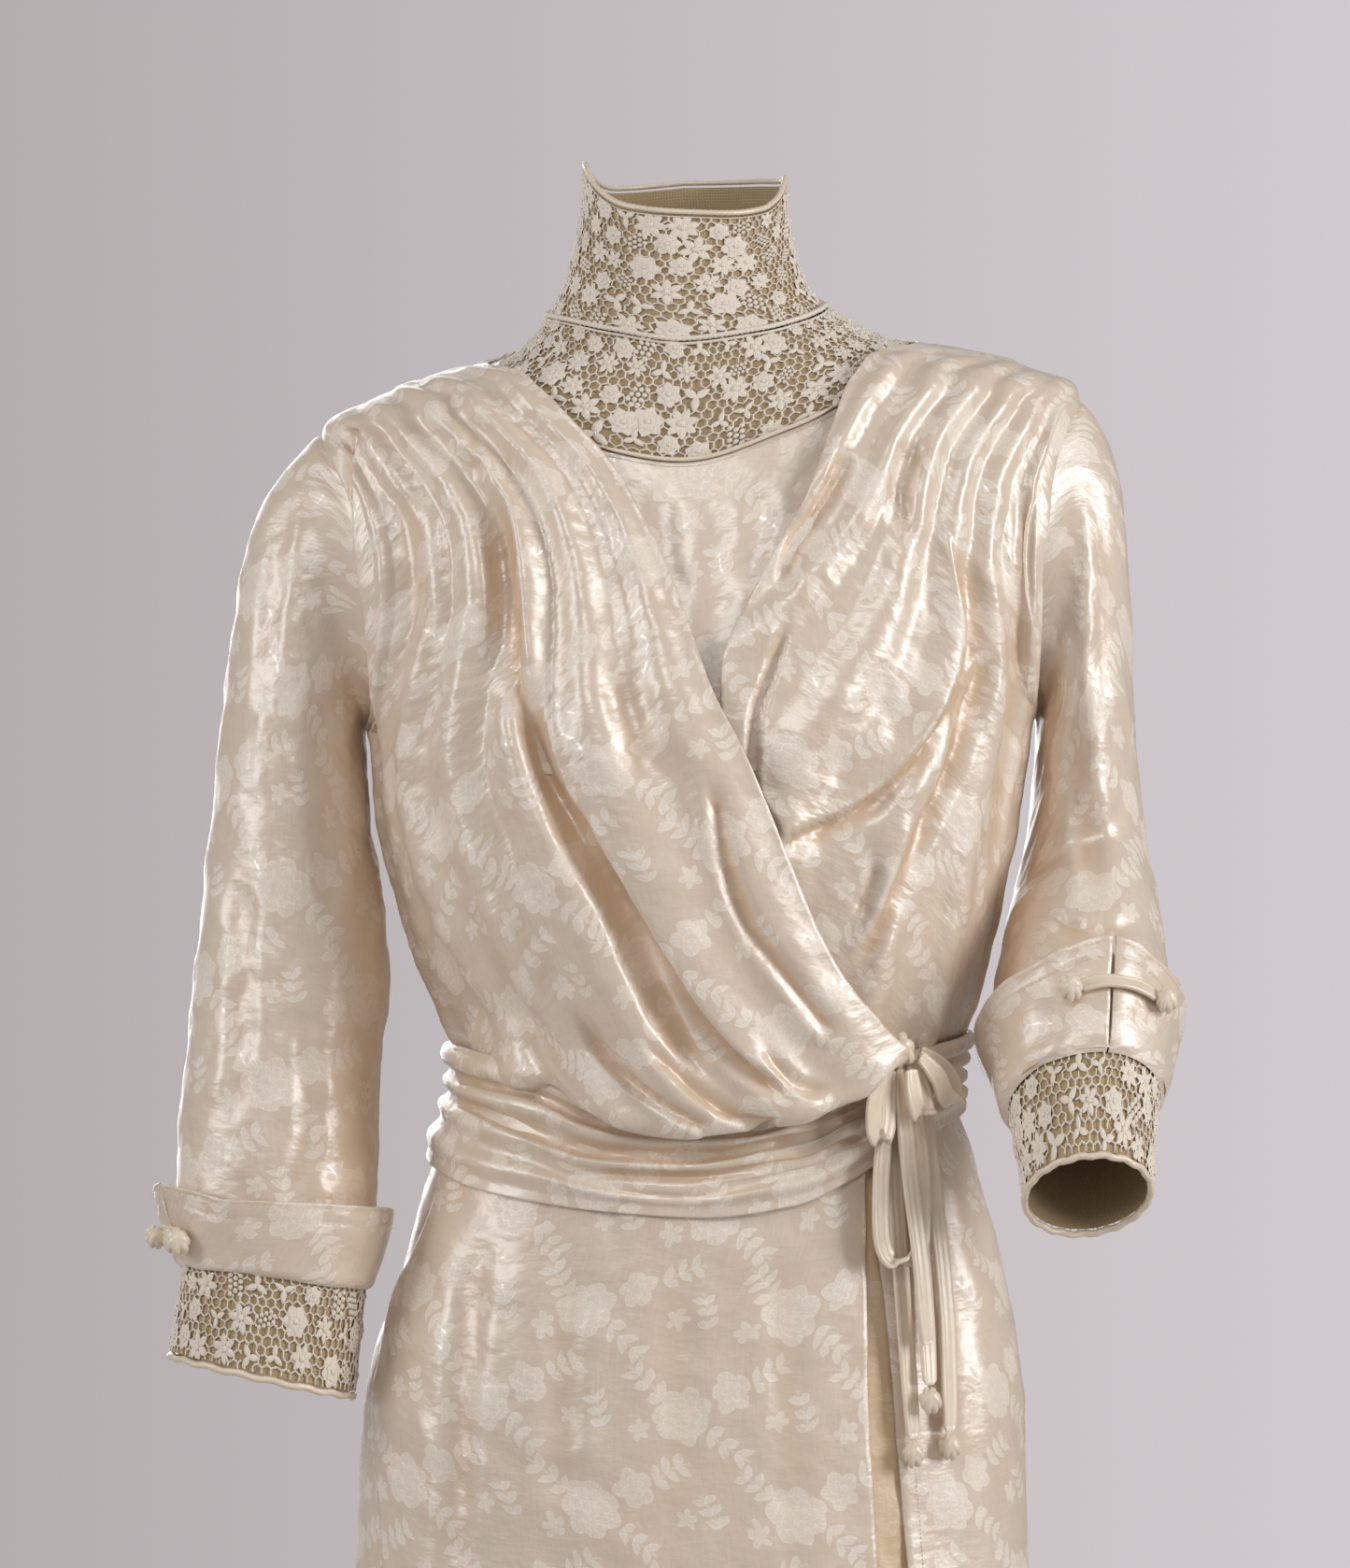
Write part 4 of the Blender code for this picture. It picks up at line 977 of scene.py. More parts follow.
# The last colour of each damask is a painted warm shade for deep folds; the second damask is a darker, warmer
# copy of the first, painted shade for the underlap that lies in the panels' shadow
DAMASK = silk_damask("ivory_silk_damask", "#DDCDBB", "#E7DBCC", "#FAF4EC", "#CC9E6A")
UNDERLAP_DAMASK_IN_PAINTED_SHADE = silk_damask("silk_damask_in_painted_shade", "#D8BC96", "#DCC4A2", "#E6D4B8", "#C8965F", shine=0.45)
SATIN = silk_satin("ivory_silk_satin", "#ECDFCE", "#DAC6AB", shine=0.25)
COTTON = crochet_cotton("crochet_cotton", "#F0E7DB", "#DDCFBD")
# The net's beige-brown is partly its own colour and partly painted shade, standing for the shade seen through
# the lace
NET = cotton_net("beige_net_with_painted_shade", "#C9B391", "#B39A75")


# Collar, yoke and plastron

net_out = NET_LAYER + NET_WALL
make_cloth("collar_net_lining", ["collar_net"], partial(collar_place, out=net_out), 121, 12, NET)
make_cloth("yoke_net_lining", ["yoke_net"], partial(yoke_place, out=net_out), 161, 12, NET)


def ring(count, radius, lift=0.0):
    angle = np.linspace(0, 2 * np.pi, count, endpoint=False)
    return np.stack([radius * np.cos(angle), radius * np.sin(angle), np.full(count, lift)], axis=-1)


def domed_petal(length, width, high, ribs):
    """One crocheted petal or leaf, lying along x: a domed lens with ribs of stitches, and its faces."""
    count, half = 7, 5
    t = np.linspace(0, 1, count)[:, None]
    s = np.linspace(-1, 1, half)[None, :]
    wide = width / 2 * np.sin(np.pi * np.clip(t, 0.04, 0.97) ** 0.8) ** 0.7
    x = length * t + 0 * s
    y = wide * s
    z = high * np.sqrt(np.clip(1 - (0.96 * s) ** 2, 0, 1)) * (0.55 + 0.45 * np.sin(np.pi * t))
    z = z + 0.22 * np.cos(2 * np.pi * ribs * t) * (1 - s * s) - 0.25 * np.exp(-(s / 0.22) ** 2)
    return np.stack([x, y, z], axis=-1).reshape(-1, 3), grid_faces(count, half, True)


def bobble(radius, high):
    """A crocheted bobble, a small round button of thread, and its faces."""
    rows = [ring(6, radius), ring(6, 0.75 * radius, 0.7 * high)]
    corners = np.concatenate([*rows, [[0, 0, high]]])
    i = np.arange(6)
    k = (i + 1) % 6
    return corners, np.concatenate([np.stack([i, k, k + 6, i + 6], axis=-1),
                                    np.stack([i + 6, k + 6, np.full(6, 12), np.full(6, 12)], axis=-1)])


def placed(part, x=0.0, y=0.0, turned=0.0, lift=0.0, size=1.0):
    corners, faces = part
    cos, sin = size * np.cos(turned), size * np.sin(turned)
    return corners @ np.array([[cos, sin, 0], [-sin, cos, 0], [0, 0, 1]]) + [x, y, lift], faces


def petals_round(petal, near, turns, lift=0.0):
    return [placed(petal, near * np.cos(turn), near * np.sin(turn), turn, lift) for turn in turns]


def joined(parts):
    """Several small parts as one: a list of corners and faces."""
    offsets = np.cumsum([0, *[len(corners) for corners, _ in parts[:-1]]])
    return (np.concatenate([corners for corners, _ in parts]),
            np.concatenate([faces + offset for (_, faces), offset in zip(parts, offsets)]))


def daisy(draw):
    """A flower of six or seven ribbed petals round a bobble."""
    petals = draw.integers(6, 8)
    parts = petals_round(domed_petal(5.6, 3.6, 0.9, 3), 1.4, np.arange(petals) * 2 * np.pi / petals)
    return joined([*parts, placed(bobble(1.7, 1.5), lift=0.3)]), 6.8


def crochet_rose(draw):
    """A rose in two tiers of wide ribbed petals."""
    turns = np.arange(6) * np.pi / 3
    lower = petals_round(domed_petal(5.4, 5.6, 0.9, 4), 1.2, turns)
    upper = petals_round(domed_petal(3.4, 3.9, 0.8, 3), 0.6, turns + 0.5, 0.7)
    return joined([*lower, *upper, placed(bobble(1.3, 0.9), lift=1.2)]), 6.6


def leaves(draw):
    """Three ribbed leaves on one stalk."""
    parts = petals_round(domed_petal(6.6, 3.6, 0.9, 6), 0, (0.0, 2.1, 4.2))
    return joined([*parts, placed(bobble(1.0, 0.9))]), 6.4


def bobble_cluster(draw):
    """Bobbles in three short rows."""
    return joined([placed(bobble(1.35, 1.3), 2.9 * (i - 1.5 + 0.5 * (j % 2)), 2.6 * (j - 1))
                   for i in range(4) for j in range(3)]), 6.2


MOTIFS = [daisy, crochet_rose, leaves, daisy, bobble_cluster, crochet_rose]


def scatter(draw, wide, deep, pitch, jitter):
    """Staggered places over a strip that joins end to end, each a little off its row."""
    rows = max(1, round(deep / (pitch * 0.87)))
    columns = max(3, round(wide / pitch))
    places = [((i + 0.5 * (j % 2)) * wide / columns, (j + 0.5) * deep / rows)
              for j in range(rows) for i in range(columns)]
    return np.array(places) + draw.uniform(-jitter, jitter, (len(places), 2))


MOTIF_PITCH, CELL, THREAD, PICOTS = 15.0, 4.9, 0.46, 0.35


def lace_work(wide, deep, seed):
    """Crochet lace laid flat: motifs joined by an open mesh of thin bars with picots."""
    draw = np.random.default_rng(seed)
    middles = scatter(draw, wide, deep, MOTIF_PITCH, 2.8)
    parts, reaches = [], []
    for index, (x, y) in enumerate(middles):
        motif, reach = MOTIFS[(5 * index + int(draw.integers(0, 3))) % len(MOTIFS)](draw)
        size = draw.uniform(0.78, 1.2)
        parts.append(placed(motif, x, y, draw.uniform(0, 2 * np.pi), size=size))
        reaches.append(reach * size)
    reaches = np.array(reaches)
    seeds = scatter(draw, wide, deep + 2 * CELL, CELL, 1.1) - [0, CELL]
    # The bars follow the sides of the cells round the seeds, found through the triangles between them
    wrapped = np.concatenate([seeds, seeds + [wide, 0], seeds - [wide, 0]])
    wrapped = wrapped[(wrapped[:, 0] > -2 * CELL) & (wrapped[:, 0] < wide + 2 * CELL)]
    found = delaunay_2d_cdt([Vector(place) for place in wrapped], [], [], 0, 1e-4)
    corners = np.array([tuple(place) for place in found[0]])
    sides, hubs = {}, []
    for index, face in enumerate(found[2]):
        hubs.append(corners[list(face)].mean(axis=0))
        for a, b in zip(face, [*face[1:], face[0]]):
            sides.setdefault((min(a, b), max(a, b)), []).append(index)
    for pair in sides.values():
        if len(pair) != 2:
            continue
        ends = np.array([hubs[index] for index in pair])
        half = ends.sum(axis=0) / 2
        if not (0 <= half[0] < wide and 0 <= half[1] <= deep) or np.linalg.norm(ends[1] - ends[0]) > 3 * CELL:
            continue
        near = np.hypot((middles[:, 0] - half[0] + wide / 2) % wide - wide / 2, middles[:, 1] - half[1])
        if (near < reaches * 0.72).any():
            continue
        ends = np.clip(ends, [-9, 0], [wide + 9, deep])
        parts.append(bar(*ends, THREAD * draw.uniform(0.8, 1.15)))
        if draw.uniform() < PICOTS:
            parts.append(placed(bobble(0.62, 0.8), *(half + draw.uniform(-0.4, 0.4, 2))))
    return joined(parts)


def bar(start, end, thick):
    """A thin bar of thread between two places on the flat."""
    ahead = end - start
    beside_it = np.array([-ahead[1], ahead[0]]) / max(np.hypot(*ahead), 1e-6) * thick
    section = [(-1, 0.0), (0, 0.85), (1, 0.0), (0, -0.5)]
    corners = [(*(place + beside_it * a), thick * (0.6 + b)) for place in (start, end) for a, b in section]
    return np.array(corners), np.array([[i, (i + 1) % 4, (i + 1) % 4 + 4, i + 4] for i in range(4)])


def make_lace(name, nodes, place, wide, deep, seed, base, flip, cut, rests_on, edge_rows=()):
    """Lays lace work on a surface: place(u, v, out) with out from the figure or the sleeve."""
    corners, faces = lace_work(wide, deep, seed)
    for row, radius in edge_rows:
        loop = np.linspace([0, row * deep], [wide, row * deep], round(wide / 1.6))
        edge = [bar(start, end, radius) for start, end in zip(loop, loop[1:])]
        corners, faces = joined([(corners, faces), *edge])
    on = place(corners[:, 0] / wide % 1.0, np.clip(corners[:, 1] / deep, 0, 1), base + corners[:, 2])
    # A face that would reach across the place where the strip joins is left out
    span = np.abs(np.diff((corners[:, 0] / wide % 1.0)[faces], axis=1)).max(axis=1)
    faces = faces[span < 0.5]
    item = make_piece(name, on, faces[:, ::-1] if flip else faces, COTTON, nodes)


# Lace of the collar and yoke. Each strip's width is its way round, and its depth its height when worn.
make_lace("collar_lace", ["collar_lace_front", "collar_lace_back"], collar_place, 362, 72, 3, LACE_LAYER,
          False, (0.37, 0.076, 0.0281), ["collar_net_lining"], [(0.0, 0.8), (0.985, 0.9)])
make_lace("yoke_lace", ["yoke_lace_front", "yoke_lace_back"], yoke_place, 600, 62, 5, LACE_LAYER,
          False, (0.62, 0.070, 0.0434), ["yoke_net_lining"], [(0.02, 0.9), (0.985, 0.8)])


ROPE_SIDES, NEARLY_UP = 8, np.array([0.13, 0.21, 1.0])


def rope(name, nodes, path, radius, finish, closed=True, swell=1.0):
    """A bound edge or piping, with its radius in millimetres, uneven where swell gives a share along it."""
    ahead = np.roll(path, -1, axis=0) - np.roll(path, 1, axis=0) if closed else np.gradient(path, axis=0)
    ahead = unit(ahead)
    up = unit(NEARLY_UP - ahead * (ahead @ NEARLY_UP)[:, None])
    around = np.linspace(0, 2 * np.pi, ROPE_SIDES, endpoint=False)[None, :, None]
    size = np.broadcast_to(radius * swell, (len(path),))[:, None, None]
    if not closed:
        # Its ends are drawn to a point
        size = size * np.sqrt(1.001 - np.linspace(-1, 1, len(path)) ** 16)[:, None, None]
    ring_out = np.cos(around) * up[:, None] + np.sin(around) * np.cross(ahead, up)[:, None]
    corners = (path[:, None] + size * ring_out).reshape(-1, 3)
    make_piece(name, corners, tube_faces(len(path), ROPE_SIDES, closed), finish, nodes)


turns = np.linspace(-180, 180, 361)[:-1]
rim = figure(turns, collar_row(turns).rim, (NET_LAYER + LACE_LAYER + LACE_WALL) / 2)
rope("collar_rim_binding", ["collar_rim"], rim + [0, 0, RIM_BINDING + LOOSE + SEAM], RIM_BINDING, SATIN,
     swell=1 + 0.08 * np.sin(np.arange(360) * 1.9))
ridge = figure(turns, collar_row(turns).base, LACE_LAYER + LACE_WALL + 0.6)
rope("collar_base_ridge", [], ridge, 1.3, COTTON, swell=1 + 0.22 * np.sin(np.arange(360) * 2.6))

turns = np.linspace(*PIPING_SPAN, 260)
neckline = figure(turns, collar_row(turns).yoke_end, PLASTRON_LAYER + SILK + LOOSE + PIPING)
rope("neckline_binding", ["neckline_piping"], neckline, PIPING, SATIN, closed=False)


# A stitch is a thin raised capsule: its corners as shares of its length, thickness and height
STITCH = [(-0.5, 0, 0), (-0.3, 1, 0), (0.3, 1, 0), (0.5, 0, 0), (-0.3, -1, 0), (0.3, -1, 0), (-0.3, 0, 1),
          (0.3, 0, 1)]
STITCH_FACES = np.array([[0, 1, 6, 6], [1, 2, 7, 6], [2, 3, 7, 7], [0, 6, 4, 4], [4, 6, 7, 5], [5, 7, 3, 3]])
STITCH_LIFT = 0.25


def stitches(place, count, long, thick):
    """A row of stitches: place(share) gives points along the row."""
    share = (np.arange(count) + 0.5) / count
    here, ahead = place(share), unit(place(share + 0.3 / count) - place(share - 0.3 / count))
    beside_it = unit(np.cross(ahead, here - here.mean(axis=0) + [0, 0, 1e-3]))
    up = unit(np.cross(beside_it, ahead))
    corners = np.stack([here + ahead * (a * long) + beside_it * (b * thick)
                        + up * (c * thick * 0.8 + STITCH_LIFT) for a, b, c in STITCH], axis=1)
    faces = STITCH_FACES[None] + len(STITCH) * np.arange(count)[:, None, None]
    return corners.reshape(-1, 3), faces.reshape(-1, 4)


def stitch_row(name, rows, finish):
    """Rows of stitches as one piece: each is a function of its share, a count, a length and a thickness."""
    corners, faces = joined([stitches(*row) for row in rows])
    faces = [[c for i, c in enumerate(face) if c not in face[:i]] for face in faces.tolist()]
    make_piece(name, corners, faces, finish)


def below_piping(share):
    turn = blend(*PIPING_SPAN, share)
    return figure(turn, collar_row(turn).yoke_end - 2.9, PLASTRON_LAYER + SILK + 0.2)


stitch_row("neckline_stitches", [(below_piping, 110, 0.9, 0.36)], COTTON)


# Creases, as lines of text: the places that a crease passes in the front view, and after the bar its depth,
# its width at the wearer's right and left, how high the cloth stands beside it at the right and left, and the
# share of it that fades out at the start and at the end
PLASTRON_CREASES = """
-22,-60 -20,-95 -4,-130 | 1.6 7 7 0.4 0.4 0.3 0.3
10,-62 8,-110 6,-150 | 1.4 8 8 0.4 0.4 0.3 0.3
34,-58 28,-90 18,-120 | 1.6 7 7 0.4 0.4 0.3 0.3
"""
RIGHT_CREASES = """
-185,-27 -190,-53 -188,-100 -183,-131 -181,-168 -177,-199 -171,-245 | 4.5 4 2 0 1.5 0.05 0.3
-155,-40 -153,-100 -150,-140 -146,-185 | 2.6 9 8 0.8 0.8 0.2 0.4
-124,-33 -121,-48 -111,-59 | 2.5 4 4 1 1 0.3 0.4
-111,-57 -104,-102 -99,-154 -86,-199 -67,-245 -45,-280 -25,-325 7,-384 | 7.0 8 5 1.6 2.2 0.15 0.08
-90,-151 -82,-206 -62,-240 -30,-295 9,-354 49,-386 | 6.0 5 3 1 2 0.2 0.08
3,-210 7,-231 11,-258 22,-290 38,-312 55,-334 73,-356 | 4.5 3.5 6 1.6 0.6 0.2 0.1
-66,-334 -53,-361 -35,-378 -15,-391 4,-400 | 4.5 3 4 1.6 1.0 0.25 0.05
-35,-347 -17,-367 0,-382 22,-395 40,-399 | 4.5 3 4 1.4 1.0 0.25 0.05
31,-352 40,-367 53,-378 70,-381 | 3.5 3 3 1.2 0.8 0.3 0.2
-95,-343 -92,-362 -82,-378 -70,-389 | 1.8 4 4 0.4 0.8 0.4 0.2
-50,-140 -38,-180 -30,-205 0,-212 | 3.0 10 10 1 1 0.3 0.4
"""
LEFT_CREASES = """
131,-73 140,-116 143,-144 136,-171 125,-192 105,-214 84,-232 62,-242 40,-251 | 5.0 2.5 7 2.0 0.6 0.15 0.05
155,-144 149,-164 140,-188 132,-212 123,-231 116,-245 105,-273 93,-299 79,-317 | 5.0 3.5 6 1.5 0.8 0.15 0.1
47,-127 38,-158 29,-184 27,-219 34,-235 41,-245 | 4.0 4 2 0.8 1.8 0.2 0.1
94,-258 90,-273 79,-293 | 3.5 4 4 1 1 0.3 0.3
174,-60 174,-86 172,-152 165,-219 154,-285 | 3.0 6 2.5 0 1.5 0.15 0.2
76,-40 71,-55 60,-75 46,-97 40,-120 | 4.0 3 6 1.5 0.6 0.2 0.2
115,-36 106,-66 108,-99 | 3.0 6 6 1 1 0.2 0.3
"""
SLEEVE_CREASES = {"right": """
-225,-60 -232,-130 -240,-200 | 2.0 6 6 0.6 0.6 0.2 0.4
-205,-150 -200,-240 -205,-330 | 2.5 8 6 0.8 0.8 0.3 0.4
-250,-250 -246,-330 -250,-420 | 2.0 7 7 0.6 0.6 0.3 0.3
-215,-330 -212,-400 -222,-450 | 2.0 6 6 0.6 0.6 0.3 0.2
""", "left": """
215,-60 218,-130 212,-200 | 2.0 6 6 0.6 0.6 0.2 0.4
195,-150 205,-230 215,-290 | 2.5 7 7 0.8 0.8 0.3 0.2
180,-290 205,-300 240,-298 | 3.0 5 5 1 1 0.3 0.3
172,-312 205,-318 240,-312 | 2.5 5 5 1 1 0.3 0.3
"""}
SASH_CREASES = """
-135,-382 -94,-386 -60,-399 -25,-405 19,-404 64,-394 93,-390 | 3.5 2.5 3.5 1.5 0.5 0.05 0.05
-134,-394 -94,-406 -55,-416 -5,-418 39,-411 91,-393 | 4.0 2.5 4 1.8 0.5 0.05 0.05
-75,-426 -10,-428 91,-409 | 3.5 2.5 3.5 1.5 0.5 0.25 0.05
-110,-418 -60,-432 -10,-438 60,-426 | 2.2 2 3 0.9 0.4 0.3 0.3
"""
SKIRT_CREASES = """
-120,-445 -128,-560 -134,-700 | 2.5 8 8 0.8 0.8 0.2 0.4
-70,-455 -74,-560 -76,-640 | 1.8 9 9 0.6 0.6 0.2 0.5
-15,-458 -12,-560 -10,-700 | 1.6 10 10 0.6 0.6 0.2 0.5
40,-452 46,-560 52,-700 | 1.8 9 9 0.6 0.6 0.2 0.5
"""
SIDE_CREASES = """
-160,-440 -172,-520 -180,-640 | 2.5 6 6 0.8 0.8 0.1 0.4
125,-425 140,-520 150,-640 | 2.5 7 7 0.8 0.8 0.1 0.4
"""


def plastron_shape(grid, u, v, across, down):
    height, trough = lay_creases(grid, PLASTRON_CREASES)
    return height + crumple(across, down, 26, 0.2, 11), trough * 0.6


def creased(creases, seed, high=0.45, seam_ease=0.0, sleeve_inner_shade=0.0):
    def shape(grid, u, v, across, down):
        height, trough = lay_creases(grid, creases)
        if sleeve_inner_shade:
            # The side of a sleeve that faces the bodice gets the same painted warm shade as a deep fold
            facing_in = -np.cos(np.radians(SLEEVE_SEAM + 360 * u))
            trough = np.maximum(trough, sleeve_inner_shade * soft((facing_in - 0.1) / 0.8) * soft(v / 0.25))
        height = height + crumple(across, down, 36, high, seed)
        height = height + crumple(across, down, 14, 0.3 * high, seed + 1)
        return height * (soft(u / seam_ease) * soft((1 - u) / seam_ease) if seam_ease else 1.0), trough
    return shape


def back_shape(grid, u, v, across, down):
    return crumple(across, down, 40, 0.5, 41) + crumple(across, down, 15, 0.15, 42), np.zeros(grid.shape[:2])


# Plastron and bodice

make_cloth("plastron_panel", ["plastron"], plastron_place, 100, 90, DAMASK,
           shape=plastron_shape)
right_front = rolled_under(front_place(RIGHT_FRONT, RIGHT_FOLDS, -1, True))
make_cloth("right_front_panel", ["front_right"], right_front, 196, 216, DAMASK,
           ["start", "end", "bottom", "top"],
           shape=creased(RIGHT_CREASES, 21))
left_front = tucked(front_place(LEFT_FRONT, LEFT_FOLDS, 1, False))
make_cloth("left_front_panel", ["front_left"], left_front, 176, 196, DAMASK,
           ["start", "end", "top"],
           shape=creased(LEFT_CREASES, 31))

HANDS = {"right": -1, "left": 1}
FRONTS = {"right": (RIGHT_FRONT, RIGHT_FOLDS), "left": (LEFT_FRONT, LEFT_FOLDS)}
SHOULDER_SEAM_SHARES = {"right": (0.04, 0.84), "left": (0.16, 0.96)}
SHOULDER_SEAM_RADIUS, SHOULDER_SEAM_SUNK = 1.5, 1.6
ARMHOLE_SEAM_RADIUS, ARMHOLE_SEAM_OUT = 1.8, 3.4
for side, hand in HANDS.items():
    # The shoulder seam, where the front and back halves meet
    shares = np.linspace(*SHOULDER_SEAM_SHARES[side], 90)
    seam = front_place(*FRONTS[side], hand, False)(shares[None, :], np.zeros((1, 1)))[0]
    rope(f"{side}_shoulder_seam", [], seam - [0, 0, SHOULDER_SEAM_SUNK], SHOULDER_SEAM_RADIUS, SATIN,
         closed=False)
    # The armhole seam is a narrow ridge between the sleeve head and the panels
    angle = np.radians(np.arange(0, 360, 2))
    armhole = figure(hand * (90 - (ARMHOLE_HALF_TURN - 0.4) * np.sin(angle)),
                     ARMHOLE_MIDDLE + (ARMHOLE_HALF_HEIGHT - 1.5) * np.cos(angle), ARMHOLE_SEAM_OUT)
    rope(f"{side}_armhole_seam", [], armhole, ARMHOLE_SEAM_RADIUS, SATIN)
for side, hand in HANDS.items():
    make_cloth(f"{side}_back_panel", [f"back_{side}"], tucked(back_place(hand)), 110, 150, DAMASK,
               ["start", "end", "top"],
               shape=back_shape)


# Sleeves, cuffs and undercuffs

def cuff_shape(grid, u, v, across, down):
    near_edge = np.exp(-((down - 2.4) / 1.0) ** 2) + np.exp(-((down - 9.5) / 1.0) ** 2)
    return crumple(across, down, 24, 0.5, 61) - 0.35 * near_edge, np.zeros(grid.shape[:2])


def cuff_stitches(side, down):
    place = cuff_place(side, SILK + 0.1)
    return lambda share: place(0.01 + 0.98 * np.clip(share, 0, 1), np.full(share.shape, down))


UNDERCUFF_STRIP = {"right": (320, 44), "left": (270, 40)}
CUFF_STITCH_ROWS = (0.06, 0.22)
WRIST_WAVES, WRIST_WAVE, WRIST_RADIUS = 17, 0.5, 1.9
for side, hand in HANDS.items():
    make_cloth(f"{side}_sleeve_tube", [f"sleeve_{side}"], sleeve_place(side, hand), 121, 196, DAMASK,
               flip=hand > 0, upright=0.68,
               measured_up=True, shape=creased(SLEEVE_CREASES[side], 51 + hand, 0.6, SEAM_EASE, 0.9))
    make_cloth(f"{side}_cuff_turnback", [f"cuff_{side}"], cuff_place(side), 160, 46, DAMASK,
               ["top", "start", "end"],
               flip=hand > 0, shape=cuff_shape)
    rows = [(cuff_stitches(side, down), 120, 1.7, 0.22) for down in CUFF_STITCH_ROWS]
    stitch_row(f"{side}_cuff_stitches", rows, SATIN)
    round_wrist = partial(undercuff_place, side)
    make_cloth(f"{side}_undercuff_lining", [f"undercuff_net_{side}"],
               partial(round_wrist, out=ARM_NET_LAYER + NET_WALL), 101, 14, NET,
               flip=hand > 0)
    make_lace(f"{side}_undercuff_lace", [f"undercuff_lace_{side}_front", f"undercuff_lace_{side}_back"],
              round_wrist, *UNDERCUFF_STRIP[side], 7, ARM_LACE_LAYER, hand > 0, (0.33, 0.05, 0.0165),
              [f"{side}_undercuff_lining"])
    around = np.linspace(0, 1, 220, endpoint=False)
    edge_out = (ARM_NET_LAYER + ARM_LACE_LAYER + LACE_WALL) / 2
    wave = WRIST_WAVE * np.sin(around * 2 * np.pi * WRIST_WAVES)[:, None]
    down_arm = unit(arm_place(side, 1.0, 0.0, 0.0) - arm_place(side, 0.97, 0.0, 0.0))
    edge = arm_place(side, 1.0, 360 * around, edge_out) + down_arm * (BINDING + LOOSE + wave)
    rope(f"{side}_undercuff_binding", [f"undercuff_binding_{side}"], edge, WRIST_RADIUS, SATIN,
         swell=1 + 0.05 * np.sin(around * 2 * np.pi * 41))


# Knots, ties and straps of satin

KNOT_AROUND, KNOT_DOWN, KNOT_CORE = 61, 36, 0.80
BAND_HALF, BAND_HIGH, BAND_GROOVE = 0.36, 0.13, 0.025


def wound_knot(name, node, bands, seed):
    """A ball of satin wound over and under itself, as large as its solid."""
    low, high = np.array(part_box(node)) / MM
    start = np.random.default_rng(seed).uniform(0, np.pi)
    u = np.linspace(0, 2 * np.pi, KNOT_AROUND)[None, :]
    v = np.linspace(0.02, np.pi - 0.02, KNOT_DOWN)[:, None]
    way = points(np.sin(v) * np.cos(u), np.sin(v) * np.sin(u), np.cos(v))
    height = np.zeros(way.shape[:2])
    for turn in start + np.arange(bands) * np.pi / bands:
        lean = way @ unit(np.array([np.cos(turn), 0.5 * np.sin(turn), np.sin(turn)]))
        strip = np.sqrt(np.clip(1 - (lean / BAND_HALF) ** 2, 0, 1))
        over = 0.5 + 0.5 * np.sin(2 * np.arctan2(way[..., 1], way[..., 0]) + 2 * turn)
        band = strip * (BAND_HIGH + BAND_HIGH * over) - BAND_GROOVE * np.abs(np.sin(14 * lean))
        height = np.maximum(height, band)
    corners = (low + high) / 2 + way * (KNOT_CORE + height)[..., None] * (high - low) / 2
    make_piece(name, corners.reshape(-1, 3), grid_faces(KNOT_DOWN, KNOT_AROUND), SATIN, [node])


TIE_SIDES, TIE_CREASE = 32, 0.5


def ribbon(name, nodes, path, side, thick, width, taper=(1.0, 1.0), seed=0):
    """A flat satin tie with folded edges and a soft crease along it."""
    count = len(path)
    ahead = unit(np.gradient(path, axis=0))
    wide = unit(side - ahead * (ahead @ side)[:, None])
    share = np.linspace(0, 1, count)
    narrow = blend(taper[0], 1.0, soft(share / 0.15)) * blend(taper[1], 1.0, soft((1 - share) / 0.15))
    draw = np.random.default_rng(seed)
    sway = 0.25 * np.sin(share * draw.uniform(9, 15) + draw.uniform(0, 6))
    angle = np.linspace(0, 2 * np.pi, TIE_SIDES, endpoint=False)
    a = np.sign(np.cos(angle)) * np.abs(np.cos(angle)) ** 0.7 / 2
    b = np.sign(np.sin(angle)) * np.abs(np.sin(angle)) ** 0.6 / 2
    folds = sum(np.exp(-((a[None, :] - fold - 0.12 * sway[:, None]) / 0.09) ** 2) for fold in (-0.2, 0.16))
    corners = (path[:, None] + wide[:, None] * (a[None, :] * width * narrow[:, None])[..., None]
               + np.cross(ahead, wide)[:, None] * (b[None, :] * thick * (1 - TIE_CREASE * folds))[..., None])
    for end in (0, -1):
        middle = corners[end].mean(axis=0)
        corners[end] = middle + (corners[end] - middle) * 0.5
    last = TIE_SIDES * count - 1
    ends = [[*range(TIE_SIDES)], [*range(last, last - TIE_SIDES, -1)]]
    faces = [*tube_faces(count, TIE_SIDES).tolist(), *ends]
    item = make_piece(name, corners.reshape(-1, 3), faces, SATIN, nodes)


